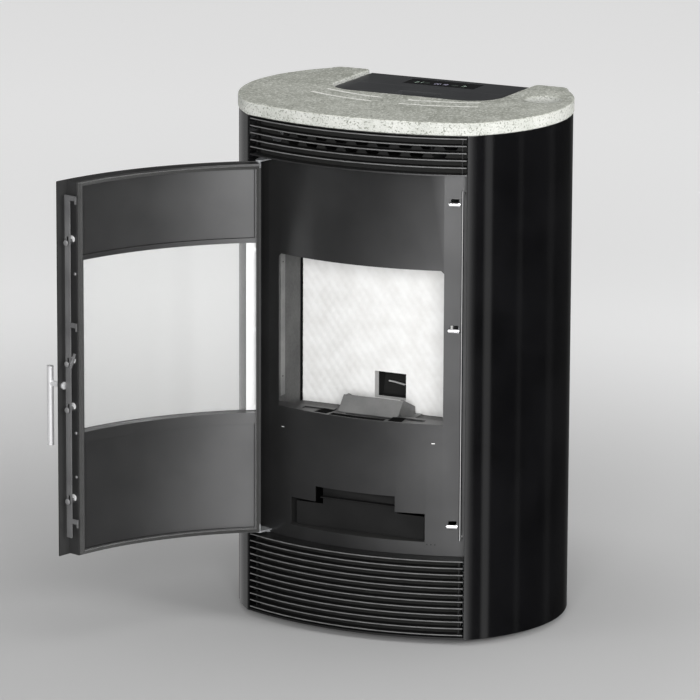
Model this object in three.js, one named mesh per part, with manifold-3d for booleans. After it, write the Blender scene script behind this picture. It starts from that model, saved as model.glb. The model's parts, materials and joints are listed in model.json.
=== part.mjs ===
// Pellet stove with a bowed front, shown with its door open.
// Units are millimetres. +Z is up, the door faces -Y, +X is the viewer's right.
// The origin is the centre of the base plate's underside.
import * as THREE from 'three';
import { mergeVertices } from 'three/addons/utils/BufferGeometryUtils.js';
import Module from 'manifold-3d';

const wasm = await Module();
wasm.setup();

// ---------------------------------------------------------------- driving dimensions
const GAP = 0.3;               // clearance between pieces that seat on each other
const BODY_H = 1063;           // base underside to stone underside
const STONE_T = 27.5;          // thickness of the stone top
const FOOT_H = 12;             // floor to base underside
const FRONT_HALF = 254;        // half the width between the two front corners
const FRONT_Y = -200;          // the front corners
const BACK_Y = 254;            // back of the casing
const HALF_W = 353;            // half the greatest width
const BOW_R = 639;             // radius of the bowed front
const SIDE_R = 307;            // radius of the rounded sides
const PANEL_T = 2.5;           // side panel sheet
const SHEET = 2;               // inner sheet metal
const BASE_T = 4;              // base plate
const STONE_OVER = 2;          // stone edge beyond the casing

const SLAT_T = 2.4, SLAT_DEPTH = 20;          // one grille slat
const LOW_SLATS = 12, LOW_SLAT_Z = 9.7, LOW_PITCH = 14.33;
const TOP_SLATS = 5, TOP_PITCH = 14.95;
const RIB_X = 240;             // comb ribs near the slat ends

const FLANGE_X = 250;          // door side of the panels' front flanges
const PLATE_D = 40, PLATE_T = 3;              // front plate: depth behind the bow, sheet
const CROWN_H = 81;            // warm-air outlet, from the front plate's top to the stone
const MOUTH_HALF = 190, MOUTH_Z0 = 448, MOUTH_Z1 = 773;      // firebox mouth
const ASH_HALF = 155, ASH_Z0 = 197, ASH_Z1 = 257;            // ash drawer mouth
const GRIP_HALF = 92, GRIP_Z1 = 290;                         // hand slot over it

const FIRE_HALF = 206, FIRE_Z0 = 426, FIRE_Z1 = 778, FIRE_BACK = -18;
const LINING_T = 20;
const CHUTE_HALF = 36.5, CHUTE_Z0 = 452, CHUTE_Z1 = 509;     // pellet hole in the lining
const POT_HALF = 64, POT_Y0 = -122, POT_Y1 = -52, POT_Z0 = 392, POT_WALL = 4;

const DOOR_HALF = 234, DOOR_Z0 = 178;         // outer skin
const DOOR_TOP_GAP = 15;       // from the skin's top to the front plate's top
const DOOR_OPEN = 125.3;       // degrees, as the door stands
const PIN_INSET = 8.5, PIN_R = 4;             // hinge pin behind the skin's edge
const SKIN_T = 2.5, DOOR_D = 30;              // skin sheet, depth of the door's box
const LATCH_X = 208;           // latch side of the door's box; the skin runs on beyond it
const WIN_X0 = -226, WIN_X1 = 190, WIN_Z0 = 438, WIN_Z1 = 800;
const GLASS_T = 4, GLASS_D = 6;

// Catch pins: how far in from the skin's lower and upper end, and the middle one's height.
const HOOK_IN = [56, 53], HOOK_MID = 649;
const HOOK_DROP = 9;           // travel of the lock bar, down to lock
const HANDLE_Z = 538;          // handle spindle
const HANDLE_X = 222;          // its place on the skin

const NOTCH_HALF = 193, NOTCH_Y = 18, NOTCH_R = 70;          // cut-out of the stone
const DECK_TOP = BODY_H + STONE_T - 7.5;      // lid and console top face
const LID_GAP = 3, LID_T = 4, LID_BACK = 148;
const RECESS = { half: 46.5, y0: 57, y1: 100, depth: 14 };
const DISPLAY = { half: 82.5, y0: 177, y1: 233, t: 2.2 };
const DISH = { x: 278, y: 108, r: 42, depth: 10 };

const HOPPER = { half: 180, y0: -5, y1: 215, mouthHalf: 158, mouthY0: 32, mouthY1: 140 };
const AUGER = { low: [165, 470], high: [22, 613], r: 30, wall: 2, shaft: 8, flight: 26 };
const FAN = { x: 115, y: 118, z: 200, r: 85, depth: 60, wheel: 62 };
const FLUE_R = 40, FLUE_OUT = 30;             // exhaust spigot, and how far it stands out
const INTAKE = { x: -110, z: 175, r: 25, out: 18 };
const BLOWER = { x0: -150, x1: 20, y: 175, z: 66, r: 30 };
const INLET = { x: -190, z: 70, w: 50, h: 60 };

// ---------------------------------------------------------------- derived places
const rad = (deg) => (deg * Math.PI) / 180;
const PLATE_Z1 = BODY_H - CROWN_H;
const DOOR_Z1 = PLATE_Z1 - DOOR_TOP_GAP;
const HOOK_Z = [DOOR_Z1 - HOOK_IN[1], HOOK_MID, DOOR_Z0 + HOOK_IN[0]];
const BOW_CY = FRONT_Y + Math.sqrt(BOW_R ** 2 - FRONT_HALF ** 2);
const SIDE_CX = HALF_W - SIDE_R;
const SIDE_CY = FRONT_Y + Math.sqrt(SIDE_R ** 2 - (FRONT_HALF - SIDE_CX) ** 2);

// A point at depth d behind the bow, in line with skin position x.
function bow(x, d) {
  const a = Math.asin(x / BOW_R);
  return [(BOW_R - d) * Math.sin(a), BOW_CY - (BOW_R - d) * Math.cos(a)];
}
// Height of the inset side curve's x at a given y, and of the inset bow's y at a given x.
const sideX = (y, d) => SIDE_CX + Math.sqrt((SIDE_R - d) ** 2 - (y - SIDE_CY) ** 2);
const bowY = (x, d) => BOW_CY - Math.sqrt((BOW_R - d) ** 2 - x ** 2);

// The front corner of the outline inset by d: where the two inset arcs cross.
function corner(d) {
  let x = FRONT_HALF - d;
  for (let i = 0; i < 30; i += 1) x = sideX(bowY(x, d), d);
  return [x, bowY(x, d)];
}

// ---------------------------------------------------------------- shape helpers
function arc(cx, cy, r, p, q, n) {
  const a = Math.atan2(p[1] - cy, p[0] - cx);
  let b = Math.atan2(q[1] - cy, q[0] - cx);
  if (b - a > Math.PI) b -= 2 * Math.PI;
  if (a - b > Math.PI) b += 2 * Math.PI;
  return Array.from({ length: n + 1 }, (_, i) => {
    const t = a + ((b - a) * i) / n;
    return [cx + r * Math.cos(t), cy + r * Math.sin(t)];
  });
}
const circle = (cx, cy, r, n = 20) => Array.from({ length: n }, (_, i) => {
  const t = (2 * Math.PI * i) / n;
  return [cx + r * Math.cos(t), cy + r * Math.sin(t)];
});
const flip = (pts) => pts.map(([x, y]) => [-x, y]).reverse();
const rect = (x0, x1, y0, y1) => [[x0, y0], [x1, y0], [x1, y1], [x0, y1]];

// The casing's outline inset by d, anticlockwise from the left front corner.
function plan(d, n = 14) {
  const c = corner(d);
  const back = [sideX(BACK_Y - d, d), BACK_Y - d];
  const front = arc(0, BOW_CY, BOW_R - d, [-c[0], c[1]], c, n);
  const right = arc(SIDE_CX, SIDE_CY, SIDE_R - d, c, back, n).slice(1);
  return [...front, ...right, ...flip(right)];
}

function prism(pts, z0, z1, holes = []) {
  const shape = new THREE.Shape(pts.map(([x, y]) => new THREE.Vector2(x, y)));
  const geo = new THREE.ExtrudeGeometry(shape, { depth: z1 - z0, bevelEnabled: false });
  geo.translate(0, 0, z0);
  return holes.length ? cut(geo, ...holes.map((hole) => prism(hole, z0 - 1, z1 + 1))) : geo;
}
// A profile in the Y-Z plane carried along X, and one in the X-Z plane carried along Y.
function prismX(pts, x0, x1, holes = []) {
  const m = new THREE.Matrix4().set(0, 0, 1, 0, 1, 0, 0, 0, 0, 1, 0, 0, 0, 0, 0, 1);
  return prism(pts, x0, x1, holes).applyMatrix4(m);
}
function prismY(pts, y0, y1, holes = []) {
  const swap = (list) => list.map(([x, z]) => [z, x]);
  const m = new THREE.Matrix4().set(0, 1, 0, 0, 0, 0, 1, 0, 1, 0, 0, 0, 0, 0, 0, 1);
  return prism(swap(pts), y0, y1, holes.map(swap)).applyMatrix4(m);
}
const box = (x0, x1, y0, y1, z0, z1) => new THREE.BoxGeometry(x1 - x0, y1 - y0, z1 - z0)
  .translate((x0 + x1) / 2, (y0 + y1) / 2, (z0 + z1) / 2);

// A curved plate that follows the bow, from skin position x0 to x1 and depth d0 to d1.
function band(x0, x1, d0, d1, z0, z1, n = 12) {
  const outer = arc(0, BOW_CY, BOW_R - d0, bow(x0, d0), bow(x1, d0), n);
  const inner = arc(0, BOW_CY, BOW_R - d1, bow(x1, d1), bow(x0, d1), n);
  return prism([...outer, ...inner], z0, z1);
}
// Puts a piece made round the origin on the bow: +X along it, +Y into the stove.
const atBow = (geo, x, d, z) => geo.rotateZ(Math.asin(x / BOW_R)).translate(...bow(x, d), z);
// A turned piece on the Z axis: profile of [radius, height].
function turned(profile, n = 20) {
  const pts = profile.map(([r, z]) => new THREE.Vector2(r, z));
  return new THREE.LatheGeometry(pts, n).rotateX(Math.PI / 2);
}
const tube = (r, wall, z0, z1, n = 20) => turned(
  [[r - wall, z0], [r, z0], [r, z1], [r - wall, z1], [r - wall, z0]], n);
const rod = (r, z0, z1, n = 12) => turned([[0, z0], [r, z0], [r, z1], [0, z1]], n);
const alongY = (geo, x, y, z) => geo.rotateX(-Math.PI / 2).translate(x, y, z);
const alongX = (geo, x, y, z) => geo.rotateY(Math.PI / 2).translate(x, y, z);

// A stack of rectangles [x0, x1, y0, y1, z] joined by flat walls.
function loft(rings) {
  const pos = rings.flatMap(([x0, x1, y0, y1, z]) => rect(x0, x1, y0, y1).flatMap((p) => [...p, z]));
  const idx = [0, 2, 1, 0, 3, 2];
  for (let i = 0; i + 1 < rings.length; i += 1) {
    for (let k = 0; k < 4; k += 1) {
      const a = 4 * i + k, b = 4 * i + ((k + 1) % 4);
      idx.push(a, b, b + 4, a, b + 4, a + 4);
    }
  }
  const t = 4 * (rings.length - 1);
  idx.push(t, t + 1, t + 2, t, t + 2, t + 3);
  const geo = new THREE.BufferGeometry();
  geo.setAttribute('position', new THREE.Float32BufferAttribute(pos, 3));
  geo.setIndex(idx);
  return geo;
}

// ---------------------------------------------------------------- joins and cuts
function solid(geo) {
  const bare = new THREE.BufferGeometry();
  bare.setAttribute('position', geo.getAttribute('position'));
  if (geo.index) bare.setIndex(geo.index);
  const m = mergeVertices(bare, 1e-4);
  return new wasm.Manifold(new wasm.Mesh({
    numProp: 3,
    vertProperties: new Float32Array(m.getAttribute('position').array),
    triVerts: new Uint32Array(m.index.array),
  }));
}
function back(man) {
  const mesh = man.getMesh();
  const geo = new THREE.BufferGeometry();
  geo.setAttribute('position', new THREE.Float32BufferAttribute(mesh.vertProperties, 3));
  geo.setIndex(new THREE.Uint32BufferAttribute(mesh.triVerts, 1));
  return geo;
}
const join = (...geos) => back(geos.map(solid).reduce((a, b) => a.add(b)));
const cut = (geo, ...tools) => back(tools.map(solid).reduce((a, b) => a.subtract(b), solid(geo)));

// ---------------------------------------------------------------- finishes
const finish = (color, roughness, metalness) => ({ color, roughness, metalness });
const GLOSS_BLACK = finish(0x0b0b0c, 0.12, 0.2);
const GREY_STEEL = finish(0x4a4a4a, 0.45, 0.4);
const BLACK_STEEL = finish(0x161616, 0.5, 0.4);
const ZINC = finish(0x9a9da0, 0.4, 0.8);
const CHROME = finish(0xdadada, 0.12, 1);
const CAST = finish(0x6a6a68, 0.7, 0.5);
const STONE = finish(0xa5a89b, 0.75, 0);
const WHITE = finish(0xf0f0ec, 0.8, 0);
const GLASS = finish(0xcfd6d6, 0.05, 0);
const DARK_GLASS = finish(0x101214, 0.08, 0);
const ROPE = finish(0x3a3a38, 0.95, 0);
const PLASTIC = finish(0x1c1c1e, 0.5, 0);
const BOARD = finish(0x1f5a35, 0.5, 0);

const stove = new THREE.Group();
function piece(name, geo, look, parent = stove) {
  const mesh = new THREE.Mesh(geo, new THREE.MeshStandardMaterial(look));
  mesh.name = name;
  parent.add(mesh);
  return mesh;
}
const sides = [['left', -1], ['right', 1]];
function mirrored(geo) {
  const out = geo.index ? geo.clone() : mergeVertices(geo);
  out.scale(-1, 1, 1);
  const idx = out.index.array;
  for (let i = 0; i < idx.length; i += 3) [idx[i], idx[i + 1]] = [idx[i + 1], idx[i]];
  return out;
}

// ================================================================ casing
const FOOT_X = 215, FOOT_Y = [-140, 190], STUD_R = 5;
const footPlaces = FOOT_Y.flatMap((y) => [[-FOOT_X, y], [FOOT_X, y]]);
const FRONT_LIP = PLATE_D + PLATE_T + 1, BACK_LIP = 20;      // the side panels' flanges
const flangeRelief = (z) => sides.map(([, s]) => box(s * (FLANGE_X + 1.25) - 1.6 - GAP,
  s * (FLANGE_X + 1.25) + 1.6 + GAP, -230, corner(0)[1] + FRONT_LIP + GAP, z - 9, z + 9));
piece('base_plate', cut(prism(plan(PANEL_T + GAP), 0, BASE_T,
  footPlaces.map(([x, y]) => circle(x, y, STUD_R + GAP, 12))), ...flangeRelief(0)), BLACK_STEEL);
footPlaces.forEach(([x, y], i) => {
  const foot = turned([[0, -FOOT_H], [14, -FOOT_H], [15, -FOOT_H + 1], [15, -GAP - 6],
    [8, -GAP - 5], [8, -GAP], [STUD_R, -GAP], [STUD_R, BASE_T + 16], [0, BASE_T + 16]], 12);
  piece(`levelling_foot_${i + 1}`, foot.translate(x, y, 0), CHROME);
});

// Side panel: a rounded sheet with a flange turned back at the front and one at the rear.
const PANEL_TOP = BODY_H - GAP;
function sidePanel() {
  const c = corner(0);
  const rear = [sideX(BACK_Y, 0), BACK_Y];
  const inRear = [sideX(BACK_Y - PANEL_T, PANEL_T), BACK_Y - PANEL_T];
  const inX = FLANGE_X + PANEL_T;
  let inY = c[1];
  for (let i = 0; i < 30; i += 1) {
    inY = SIDE_CY - Math.sqrt((SIDE_R - PANEL_T) ** 2 - (inX - SIDE_CX) ** 2);
  }
  return prism([
    [FLANGE_X, bowY(FLANGE_X, 0)], ...arc(SIDE_CX, SIDE_CY, SIDE_R, c, rear, 22),
    [rear[0] - BACK_LIP, BACK_Y], [rear[0] - BACK_LIP, BACK_Y - PANEL_T],
    ...arc(SIDE_CX, SIDE_CY, SIDE_R - PANEL_T, inRear, [inX, inY], 22),
    [inX, c[1] + FRONT_LIP], [FLANGE_X, c[1] + FRONT_LIP],
  ], 0, PANEL_TOP);
}
for (const [side, s] of sides) {
  piece(`side_panel_${side}`, s > 0 ? sidePanel() : mirrored(sidePanel()), GLOSS_BLACK);
}

// Back panel, inside the panels' rear flanges, with its louvres and pipe holes.
const PIPE_GAP = 0.6;
const BACK_IN = BACK_Y - PANEL_T - GAP;
const backHalf = sideX(BACK_IN, PANEL_T) - GAP - 0.5;
const LOUVRE_TOP = BODY_H - 160;
const louvres = [0, 1, 2, 3, 4].flatMap((i) => [-60, 60].map(
  (x) => rect(x - 45, x + 45, LOUVRE_TOP - 22 * i - 6, LOUVRE_TOP - 22 * i)));
piece('back_panel', prismY(rect(-backHalf, backHalf, BASE_T + GAP, BODY_H - GAP - SHEET - GAP),
  BACK_IN - SHEET, BACK_IN, [
    circle(FAN.x, FAN.z, FLUE_R + PIPE_GAP, 24), circle(INTAKE.x, INTAKE.z, INTAKE.r + PIPE_GAP, 18),
    rect(INLET.x - INLET.w / 2, INLET.x + INLET.w / 2, INLET.z - INLET.h / 2,
      INLET.z + INLET.h / 2), ...louvres,
  ]), ZINC);

// Top plate: carries the stone and the console, with the hopper's mouth cut in it.
const TOP_Z0 = BODY_H - GAP - SHEET;
piece('top_plate', cut(prism(plan(PANEL_T + GAP), TOP_Z0, TOP_Z0 + SHEET,
  [rect(-HOPPER.mouthHalf, HOPPER.mouthHalf, HOPPER.mouthY0, HOPPER.mouthY1)]),
...flangeRelief(TOP_Z0)), BLACK_STEEL);

// ================================================================ stone top
function stoneOutline() {
  const d = -STONE_OVER;
  const c = corner(d);
  const endR = 24;
  const yBack = BACK_Y;
  const outX = sideX(yBack - endR, d);
  const right = arc(SIDE_CX, SIDE_CY, SIDE_R - d, c, [outX, yBack - endR], 18).slice(1);
  const lobe = arc(outX - endR - 1, yBack - endR, endR, [outX, yBack - endR],
    [outX - endR - 1, yBack], 5).slice(1);
  const heel = arc(NOTCH_HALF + 12, yBack - 12, 12, [NOTCH_HALF + 12, yBack],
    [NOTCH_HALF, yBack - 12], 3);
  const fillet = arc(NOTCH_HALF - NOTCH_R, NOTCH_Y + NOTCH_R, NOTCH_R,
    [NOTCH_HALF, NOTCH_Y + NOTCH_R], [NOTCH_HALF - NOTCH_R, NOTCH_Y], 7);
  const half = [...right, ...lobe, ...heel, ...fillet];
  const front = arc(0, BOW_CY, BOW_R - d, [-c[0], c[1]], c, 20);
  return [...front, ...half, ...flip(half)];
}
// Grooves on both sides of the middle, on arcs that share the bow's centre.
function groove(depthFromBow, x0, x1) {
  const r = BOW_R - depthFromBow;
  const at = (x, rr) => [(rr * x) / r, BOW_CY - Math.sqrt(rr * rr - ((rr * x) / r) ** 2)];
  const w = 3.5;
  const outer = arc(0, BOW_CY, r + w, at(x0, r + w), at(x1, r + w), 8);
  const inner = arc(0, BOW_CY, r - w, at(x1, r - w), at(x0, r - w), 8);
  return prism([...outer, ...inner], BODY_H + STONE_T - 9, BODY_H + STONE_T + 5);
}
const dishTool = turned([[0, -DISH.depth], [DISH.r * 0.5, -DISH.depth * 0.86],
  [DISH.r * 0.8, -DISH.depth * 0.5], [DISH.r * 0.97, 0], [DISH.r * 0.97, 9], [0, 9]], 28)
  .translate(DISH.x, DISH.y, BODY_H + STONE_T);
const CHAMFER = 2;
function chamfered(outline, z0, z1) {
  const shape = new THREE.Shape(outline.map(([x, y]) => new THREE.Vector2(x, y)));
  const geo = new THREE.ExtrudeGeometry(shape, {
    depth: z1 - z0 - 2 * CHAMFER, bevelEnabled: true, bevelThickness: CHAMFER,
    bevelSize: CHAMFER, bevelOffset: -CHAMFER, bevelSegments: 1,
  });
  return geo.translate(0, 0, z0 + CHAMFER);
}
piece('stone_top', cut(chamfered(stoneOutline(), BODY_H, BODY_H + STONE_T), dishTool,
  ...[[224, 30, 176], [178, 31, 192]].flatMap(([d, x0, x1]) => [groove(d, x0, x1),
    groove(d, -x1, -x0)])), STONE);

// ================================================================ lid, console, display
function deckOutline(gap, y0, y1) {
  const half = NOTCH_HALF - gap, r = NOTCH_R - gap;
  const fillet = arc(half - r, y0 + r, r, [half - r, y0], [half, y0 + r], 7);
  return [...fillet, [half, y1], [-half, y1], ...flip(fillet)];
}
const lidFront = NOTCH_Y + LID_GAP;
const LID_Z0 = BODY_H;
const lidShell = cut(prism(deckOutline(LID_GAP, lidFront, LID_BACK), LID_Z0, DECK_TOP),
  prism(deckOutline(LID_GAP + 3, lidFront + 3, LID_BACK - 3), LID_Z0 - 5, DECK_TOP - LID_T));
const recessFloor = DECK_TOP - RECESS.depth;
piece('hopper_lid', cut(join(lidShell,
  box(-RECESS.half - 2, RECESS.half + 2, RECESS.y0 - 2, RECESS.y1 + 2, recessFloor - 2, DECK_TOP)),
prismX([[RECESS.y0, DECK_TOP + 1], [RECESS.y1, DECK_TOP + 1], [RECESS.y1, recessFloor],
  [RECESS.y0 + 14, recessFloor], [RECESS.y0, DECK_TOP - 5]], -RECESS.half, RECESS.half)),
GREY_STEEL);
const CONSOLE_Y0 = LID_BACK + 1.2;
piece('control_console', cut(box(-NOTCH_HALF + LID_GAP, NOTCH_HALF - LID_GAP, CONSOLE_Y0,
  BACK_Y - 2, LID_Z0, DECK_TOP), box(-DISPLAY.half - GAP, DISPLAY.half + GAP, DISPLAY.y0 - GAP,
  DISPLAY.y1 + GAP, DECK_TOP - DISPLAY.t - GAP, DECK_TOP + 9),
box(-NOTCH_HALF + LID_GAP + 3, NOTCH_HALF - LID_GAP - 3, CONSOLE_Y0 + 3, BACK_Y - 5, LID_Z0 - 1,
  DECK_TOP - LID_T - 2)), GREY_STEEL);
piece('display_glass', box(-DISPLAY.half, DISPLAY.half, DISPLAY.y0, DISPLAY.y1,
  DECK_TOP - DISPLAY.t, DECK_TOP), DARK_GLASS);

// ================================================================ grilles
function grille(count, z0, pitch, ribZ0, ribZ1) {
  const end = FLANGE_X - 2;
  const slats = Array.from({ length: count }, (_, i) => band(-end, end, 1, 1 + SLAT_DEPTH,
    z0 + i * pitch - SLAT_T / 2, z0 + i * pitch + SLAT_T / 2, 10));
  const ribs = [-RIB_X, RIB_X].map((x) => band(x - 1.5, x + 1.5, 12, 1 + SLAT_DEPTH + 1,
    ribZ0, ribZ1, 1));
  return join(...ribs, ...slats);
}
const lowTop = LOW_SLAT_Z + (LOW_SLATS - 1) * LOW_PITCH + SLAT_T / 2;
piece('lower_grille', grille(LOW_SLATS, LOW_SLAT_Z, LOW_PITCH, BASE_T + GAP, lowTop - SLAT_T),
  BLACK_STEEL);
const topSlatZ = PLATE_Z1 + TOP_PITCH - GAP;
const topEnd = topSlatZ + (TOP_SLATS - 1) * TOP_PITCH;
piece('upper_grille', grille(TOP_SLATS, topSlatZ, TOP_PITCH, PLATE_Z1 + GAP, topEnd),
  BLACK_STEEL);

// Warm-air outlet plate behind the upper grille: two staggered rows of six-sided holes.
const OUTLET_D = SLAT_DEPTH + 2 + GAP;
function outletPlate() {
  const end = FLANGE_X - 1.2;
  const holes = [[PLATE_Z1 + 36, 0], [PLATE_Z1 + 52, 0.5]].flatMap(([z, shift]) => Array.from(
    { length: 9 }, (_, i) => {
      const a = rad((i - 4 + shift) * 4.4);
      const hex = [[-15, 0], [-11, -5.5], [11, -5.5], [15, 0], [11, 5.5], [-11, 5.5]];
      return prismY(hex, -20, 20).rotateZ(a)
        .translate((BOW_R - OUTLET_D) * Math.sin(a), BOW_CY - (BOW_R - OUTLET_D) * Math.cos(a), z);
    }));
  return cut(band(-end, end, OUTLET_D, OUTLET_D + SHEET, PLATE_Z1 + GAP, TOP_Z0 - GAP), ...holes);
}
piece('air_outlet_plate', outletPlate(), BLACK_STEEL);

// ================================================================ front plate and jambs
const plateEnd = FLANGE_X - 1;
const plateX = (x) => (x * BOW_R) / (BOW_R - PLATE_D);   // skin position of a plate x
const CATCH_D = 31, CATCH_R = 4.5;            // catch pins: depth behind the bow, radius
const CATCH_SKIN = plateX(212);
const CATCH_X = bow(CATCH_SKIN, CATCH_D)[0];
const PLATE_Z0 = lowTop + GAP;                // it stands on the sill
function frontPlate() {
  const end = plateX(FLANGE_X - GAP - 0.4);
  const sheet = band(-end, end, PLATE_D, PLATE_D + PLATE_T, PLATE_Z0, PLATE_Z1, 16);
  const shelf = band(-plateEnd, plateEnd, 1, PLATE_D + 1, PLATE_Z1 - 3, PLATE_Z1, 16);
  const r = 6;
  const mouth = [[-MOUTH_HALF, MOUTH_Z0], [MOUTH_HALF, MOUTH_Z0], [MOUTH_HALF, MOUTH_Z1 - r],
    [MOUTH_HALF - r, MOUTH_Z1], [-MOUTH_HALF + r, MOUTH_Z1], [-MOUTH_HALF, MOUTH_Z1 - r]];
  const ash = [[-ASH_HALF, ASH_Z0], [ASH_HALF, ASH_Z0], [ASH_HALF, ASH_Z1],
    [GRIP_HALF, ASH_Z1], [GRIP_HALF, GRIP_Z1], [-GRIP_HALF, GRIP_Z1], [-GRIP_HALF, ASH_Z1],
    [-ASH_HALF, ASH_Z1]];
  const slots = HOOK_Z.map((z) => box(CATCH_X - 13, CATCH_X + 3, -200, -130, z - 5, z + 10));
  return cut(join(sheet, shelf), prismY(mouth, -300, -100), prismY(ash, -300, -100), ...slots);
}
piece('front_plate', frontPlate(), GREY_STEEL);
piece('sill_plate', band(-plateEnd, plateEnd, OUTLET_D, PLATE_D + 20, lowTop - SLAT_T, lowTop),
  BLACK_STEEL);

// Catches: a pin along the jamb on a foot that stands on the front plate.
HOOK_Z.forEach((z, i) => {
  piece(`catch_${i + 1}`, atBow(join(alongX(rod(CATCH_R, -13, 9), 0, 0, 0),
    box(4, 9, -3, PLATE_D - CATCH_D - GAP, -3.5, 3.5)), CATCH_SKIN, CATCH_D, z), CHROME);
});
const [ROD_X, ROD_Y] = bow(plateX(225.5), CATCH_D);
const ROD_ENDS = [DOOR_Z0 + 27, DOOR_Z1 - 24];
const rodFoot = (z) => box(ROD_X - 3, ROD_X + 3, ROD_Y, bowY(ROD_X - 3, PLATE_D) - GAP, z - 2, z + 2);
piece('strike_rod', join(rod(2.5, ...ROD_ENDS).translate(ROD_X, ROD_Y, 0),
  rodFoot(ROD_ENDS[0] + 5), rodFoot(ROD_ENDS[1] - 5)), CHROME);

// Hinge brackets: a tab from the front plate to the pin that enters the door's end.
const A = (() => {
  const [x, y] = bow(-DOOR_HALF, 0);
  const a = Math.asin(x / BOW_R);
  const along = [Math.cos(a), Math.sin(a)];
  const inward = [-Math.sin(a), Math.cos(a)];
  return [x + PIN_INSET * (along[0] * 0.6 + inward[0]), y + PIN_INSET * (along[1] * 0.6 + inward[1])];
})();
function hinge(zTab, dir, wallZ0, wallZ1) {
  const reach = bowY(A[0] + 12, PLATE_D) - GAP - 0.2;
  const tab = prism([[A[0] - 7, A[1] - 3], [A[0] - 3, A[1] - 7], [A[0] + 3, A[1] - 7],
    [A[0] + 7, A[1] - 3], [A[0] + 16, bowY(A[0] + 16, PLATE_D) - GAP - 0.1],
    [A[0] - 14, bowY(A[0] - 14, PLATE_D) - GAP - 0.1]], zTab, zTab + 3);
  const wall = box(A[0] - 10, A[0] + 12, reach - 3, reach, wallZ0, wallZ1);
  return join(tab, wall, rod(PIN_R, dir > 0 ? zTab - 14 : zTab, dir > 0 ? zTab + 3 : zTab + 17)
    .translate(A[0], A[1], 0));
}
piece('hinge_upper', hinge(DOOR_Z1 + 1, 1, DOOR_Z1 + 1, PLATE_Z1 - 3 - GAP), ZINC);
piece('hinge_lower', hinge(DOOR_Z0 - 4, -1, lowTop + GAP, DOOR_Z0 - 1), ZINC);

// ================================================================ chassis and firebox
const POST_X = FIRE_HALF + SHEET + GAP;
for (const [side, s] of sides) {
  const post = prism([[POST_X, -120], [POST_X + 34, -120], [POST_X + 34, -118],
    [POST_X + SHEET, -118], [POST_X + SHEET, -70], [POST_X, -70]], BASE_T + GAP, TOP_Z0 - GAP);
  piece(`chassis_post_${side}`, s > 0 ? post : mirrored(post), ZINC);
}
const fireFront = PLATE_D + PLATE_T + GAP + 0.1;
function firePlan(inset, yBack) {
  const x = FIRE_HALF + SHEET - inset;
  const f = arc(0, BOW_CY, BOW_R - fireFront, [-x, bowY(x, fireFront)], [x, bowY(x, fireFront)], 10);
  return [...f, [x, yBack], [-x, yBack]];
}
const WELL = [POT_Y0 - 8, POT_Y1 + 6];        // floor hole that takes the pot
const fireInside = [[-FIRE_HALF, -300], [FIRE_HALF, -300], [FIRE_HALF, FIRE_BACK - SHEET],
  [-FIRE_HALF, FIRE_BACK - SHEET]];
piece('firebox_shell', cut(prism(firePlan(0, FIRE_BACK), FIRE_Z0 - SHEET, FIRE_Z1 + SHEET),
  prism(fireInside, FIRE_Z0, FIRE_Z1),
  box(-POT_HALF - 8, POT_HALF + 8, WELL[0], WELL[1], FIRE_Z0 - 9, FIRE_Z0 + 9),
  box(-CHUTE_HALF, CHUTE_HALF, FIRE_BACK - 9, FIRE_BACK + 9, CHUTE_Z0, CHUTE_Z1)), CAST);
const liningBack = FIRE_BACK - SHEET - GAP;
piece('firebox_lining', prismY(rect(-FIRE_HALF + GAP, FIRE_HALF - GAP, FIRE_Z0 + GAP,
  FIRE_Z1 - GAP), liningBack - LINING_T, liningBack,
[rect(-CHUTE_HALF, CHUTE_HALF, CHUTE_Z0, CHUTE_Z1)]), WHITE);

// Hearth ledge: the shelf behind the mouth, notched for the pot, with a slot at each side.
const LEDGE_Z = MOUTH_Z0 - 1;
function hearthLedge() {
  const x = FIRE_HALF - GAP;
  const f = arc(0, BOW_CY, BOW_R - fireFront, [-x, bowY(x, fireFront)], [x, bowY(x, fireFront)], 10);
  const yb = POT_Y0 - 24;
  const behind = (px, dy) => bowY(px, fireFront) + dy;
  const notchY = behind(POT_HALF + 8, 21);
  const notch = [[POT_HALF + 8, yb], [POT_HALF + 8, notchY], [-POT_HALF - 8, notchY],
    [-POT_HALF - 8, yb]];
  const slot = rect(84, 140, behind(140, 16), behind(140, 34));
  const shelf = prism([...f, [x, yb], ...notch, [-x, yb]], LEDGE_Z - 3, LEDGE_Z,
    [slot, flip(slot)]);
  const legX = FIRE_HALF - 10;
  const legs = [-1, 1].map((s) => box(s * legX - 1.5, s * legX + 1.5, behind(legX + 2, 7), yb,
    FIRE_Z0 + GAP, LEDGE_Z - 1));
  return join(shelf, ...legs);
}
piece('hearth_ledge', hearthLedge(), GREY_STEEL);

// Burn pot: a cast box with a pierced floor and a flap that slopes forward off its lip.
function burnPot() {
  const { y0, y1, z0, lip, backLip } = { y0: POT_Y0, y1: POT_Y1, z0: POT_Z0, lip: 472,
    backLip: 446 };
  const w = POT_WALL;
  const outer = prismX([[y0, z0], [y1, z0], [y1, backLip], [y0 + 12, lip], [y0, lip]],
    -POT_HALF, POT_HALF);
  const inner = prismX([[y0 + w, z0 + w], [y1 - w, z0 + w], [y1 - w, 500], [y0 + w, 500]],
    -POT_HALF + w, POT_HALF - w);
  const flap = prismX([[y0 + 2, lip], [y0 - 26, 441], [y0 - 23, 438.5], [y0 + 2, lip - 4.5]],
    -POT_HALF - 5, POT_HALF + 5);
  const rim = cut(box(-POT_HALF - 12, POT_HALF + 12, y0, y1 + 10, FIRE_Z0 + GAP, FIRE_Z0 + 3),
    box(-POT_HALF + w, POT_HALF - w, y0 + w, y1 - w, 0, 999));
  const holes = [];
  for (let i = -2; i <= 2; i += 1) {
    for (let j = 0; j < 3; j += 1) {
      holes.push(prism(circle(i * 22, y0 + 18 + j * 17, 3.5, 6), z0 - 2, z0 + w + 2));
    }
  }
  return cut(join(outer, flap, rim), inner, ...holes);
}
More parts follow.
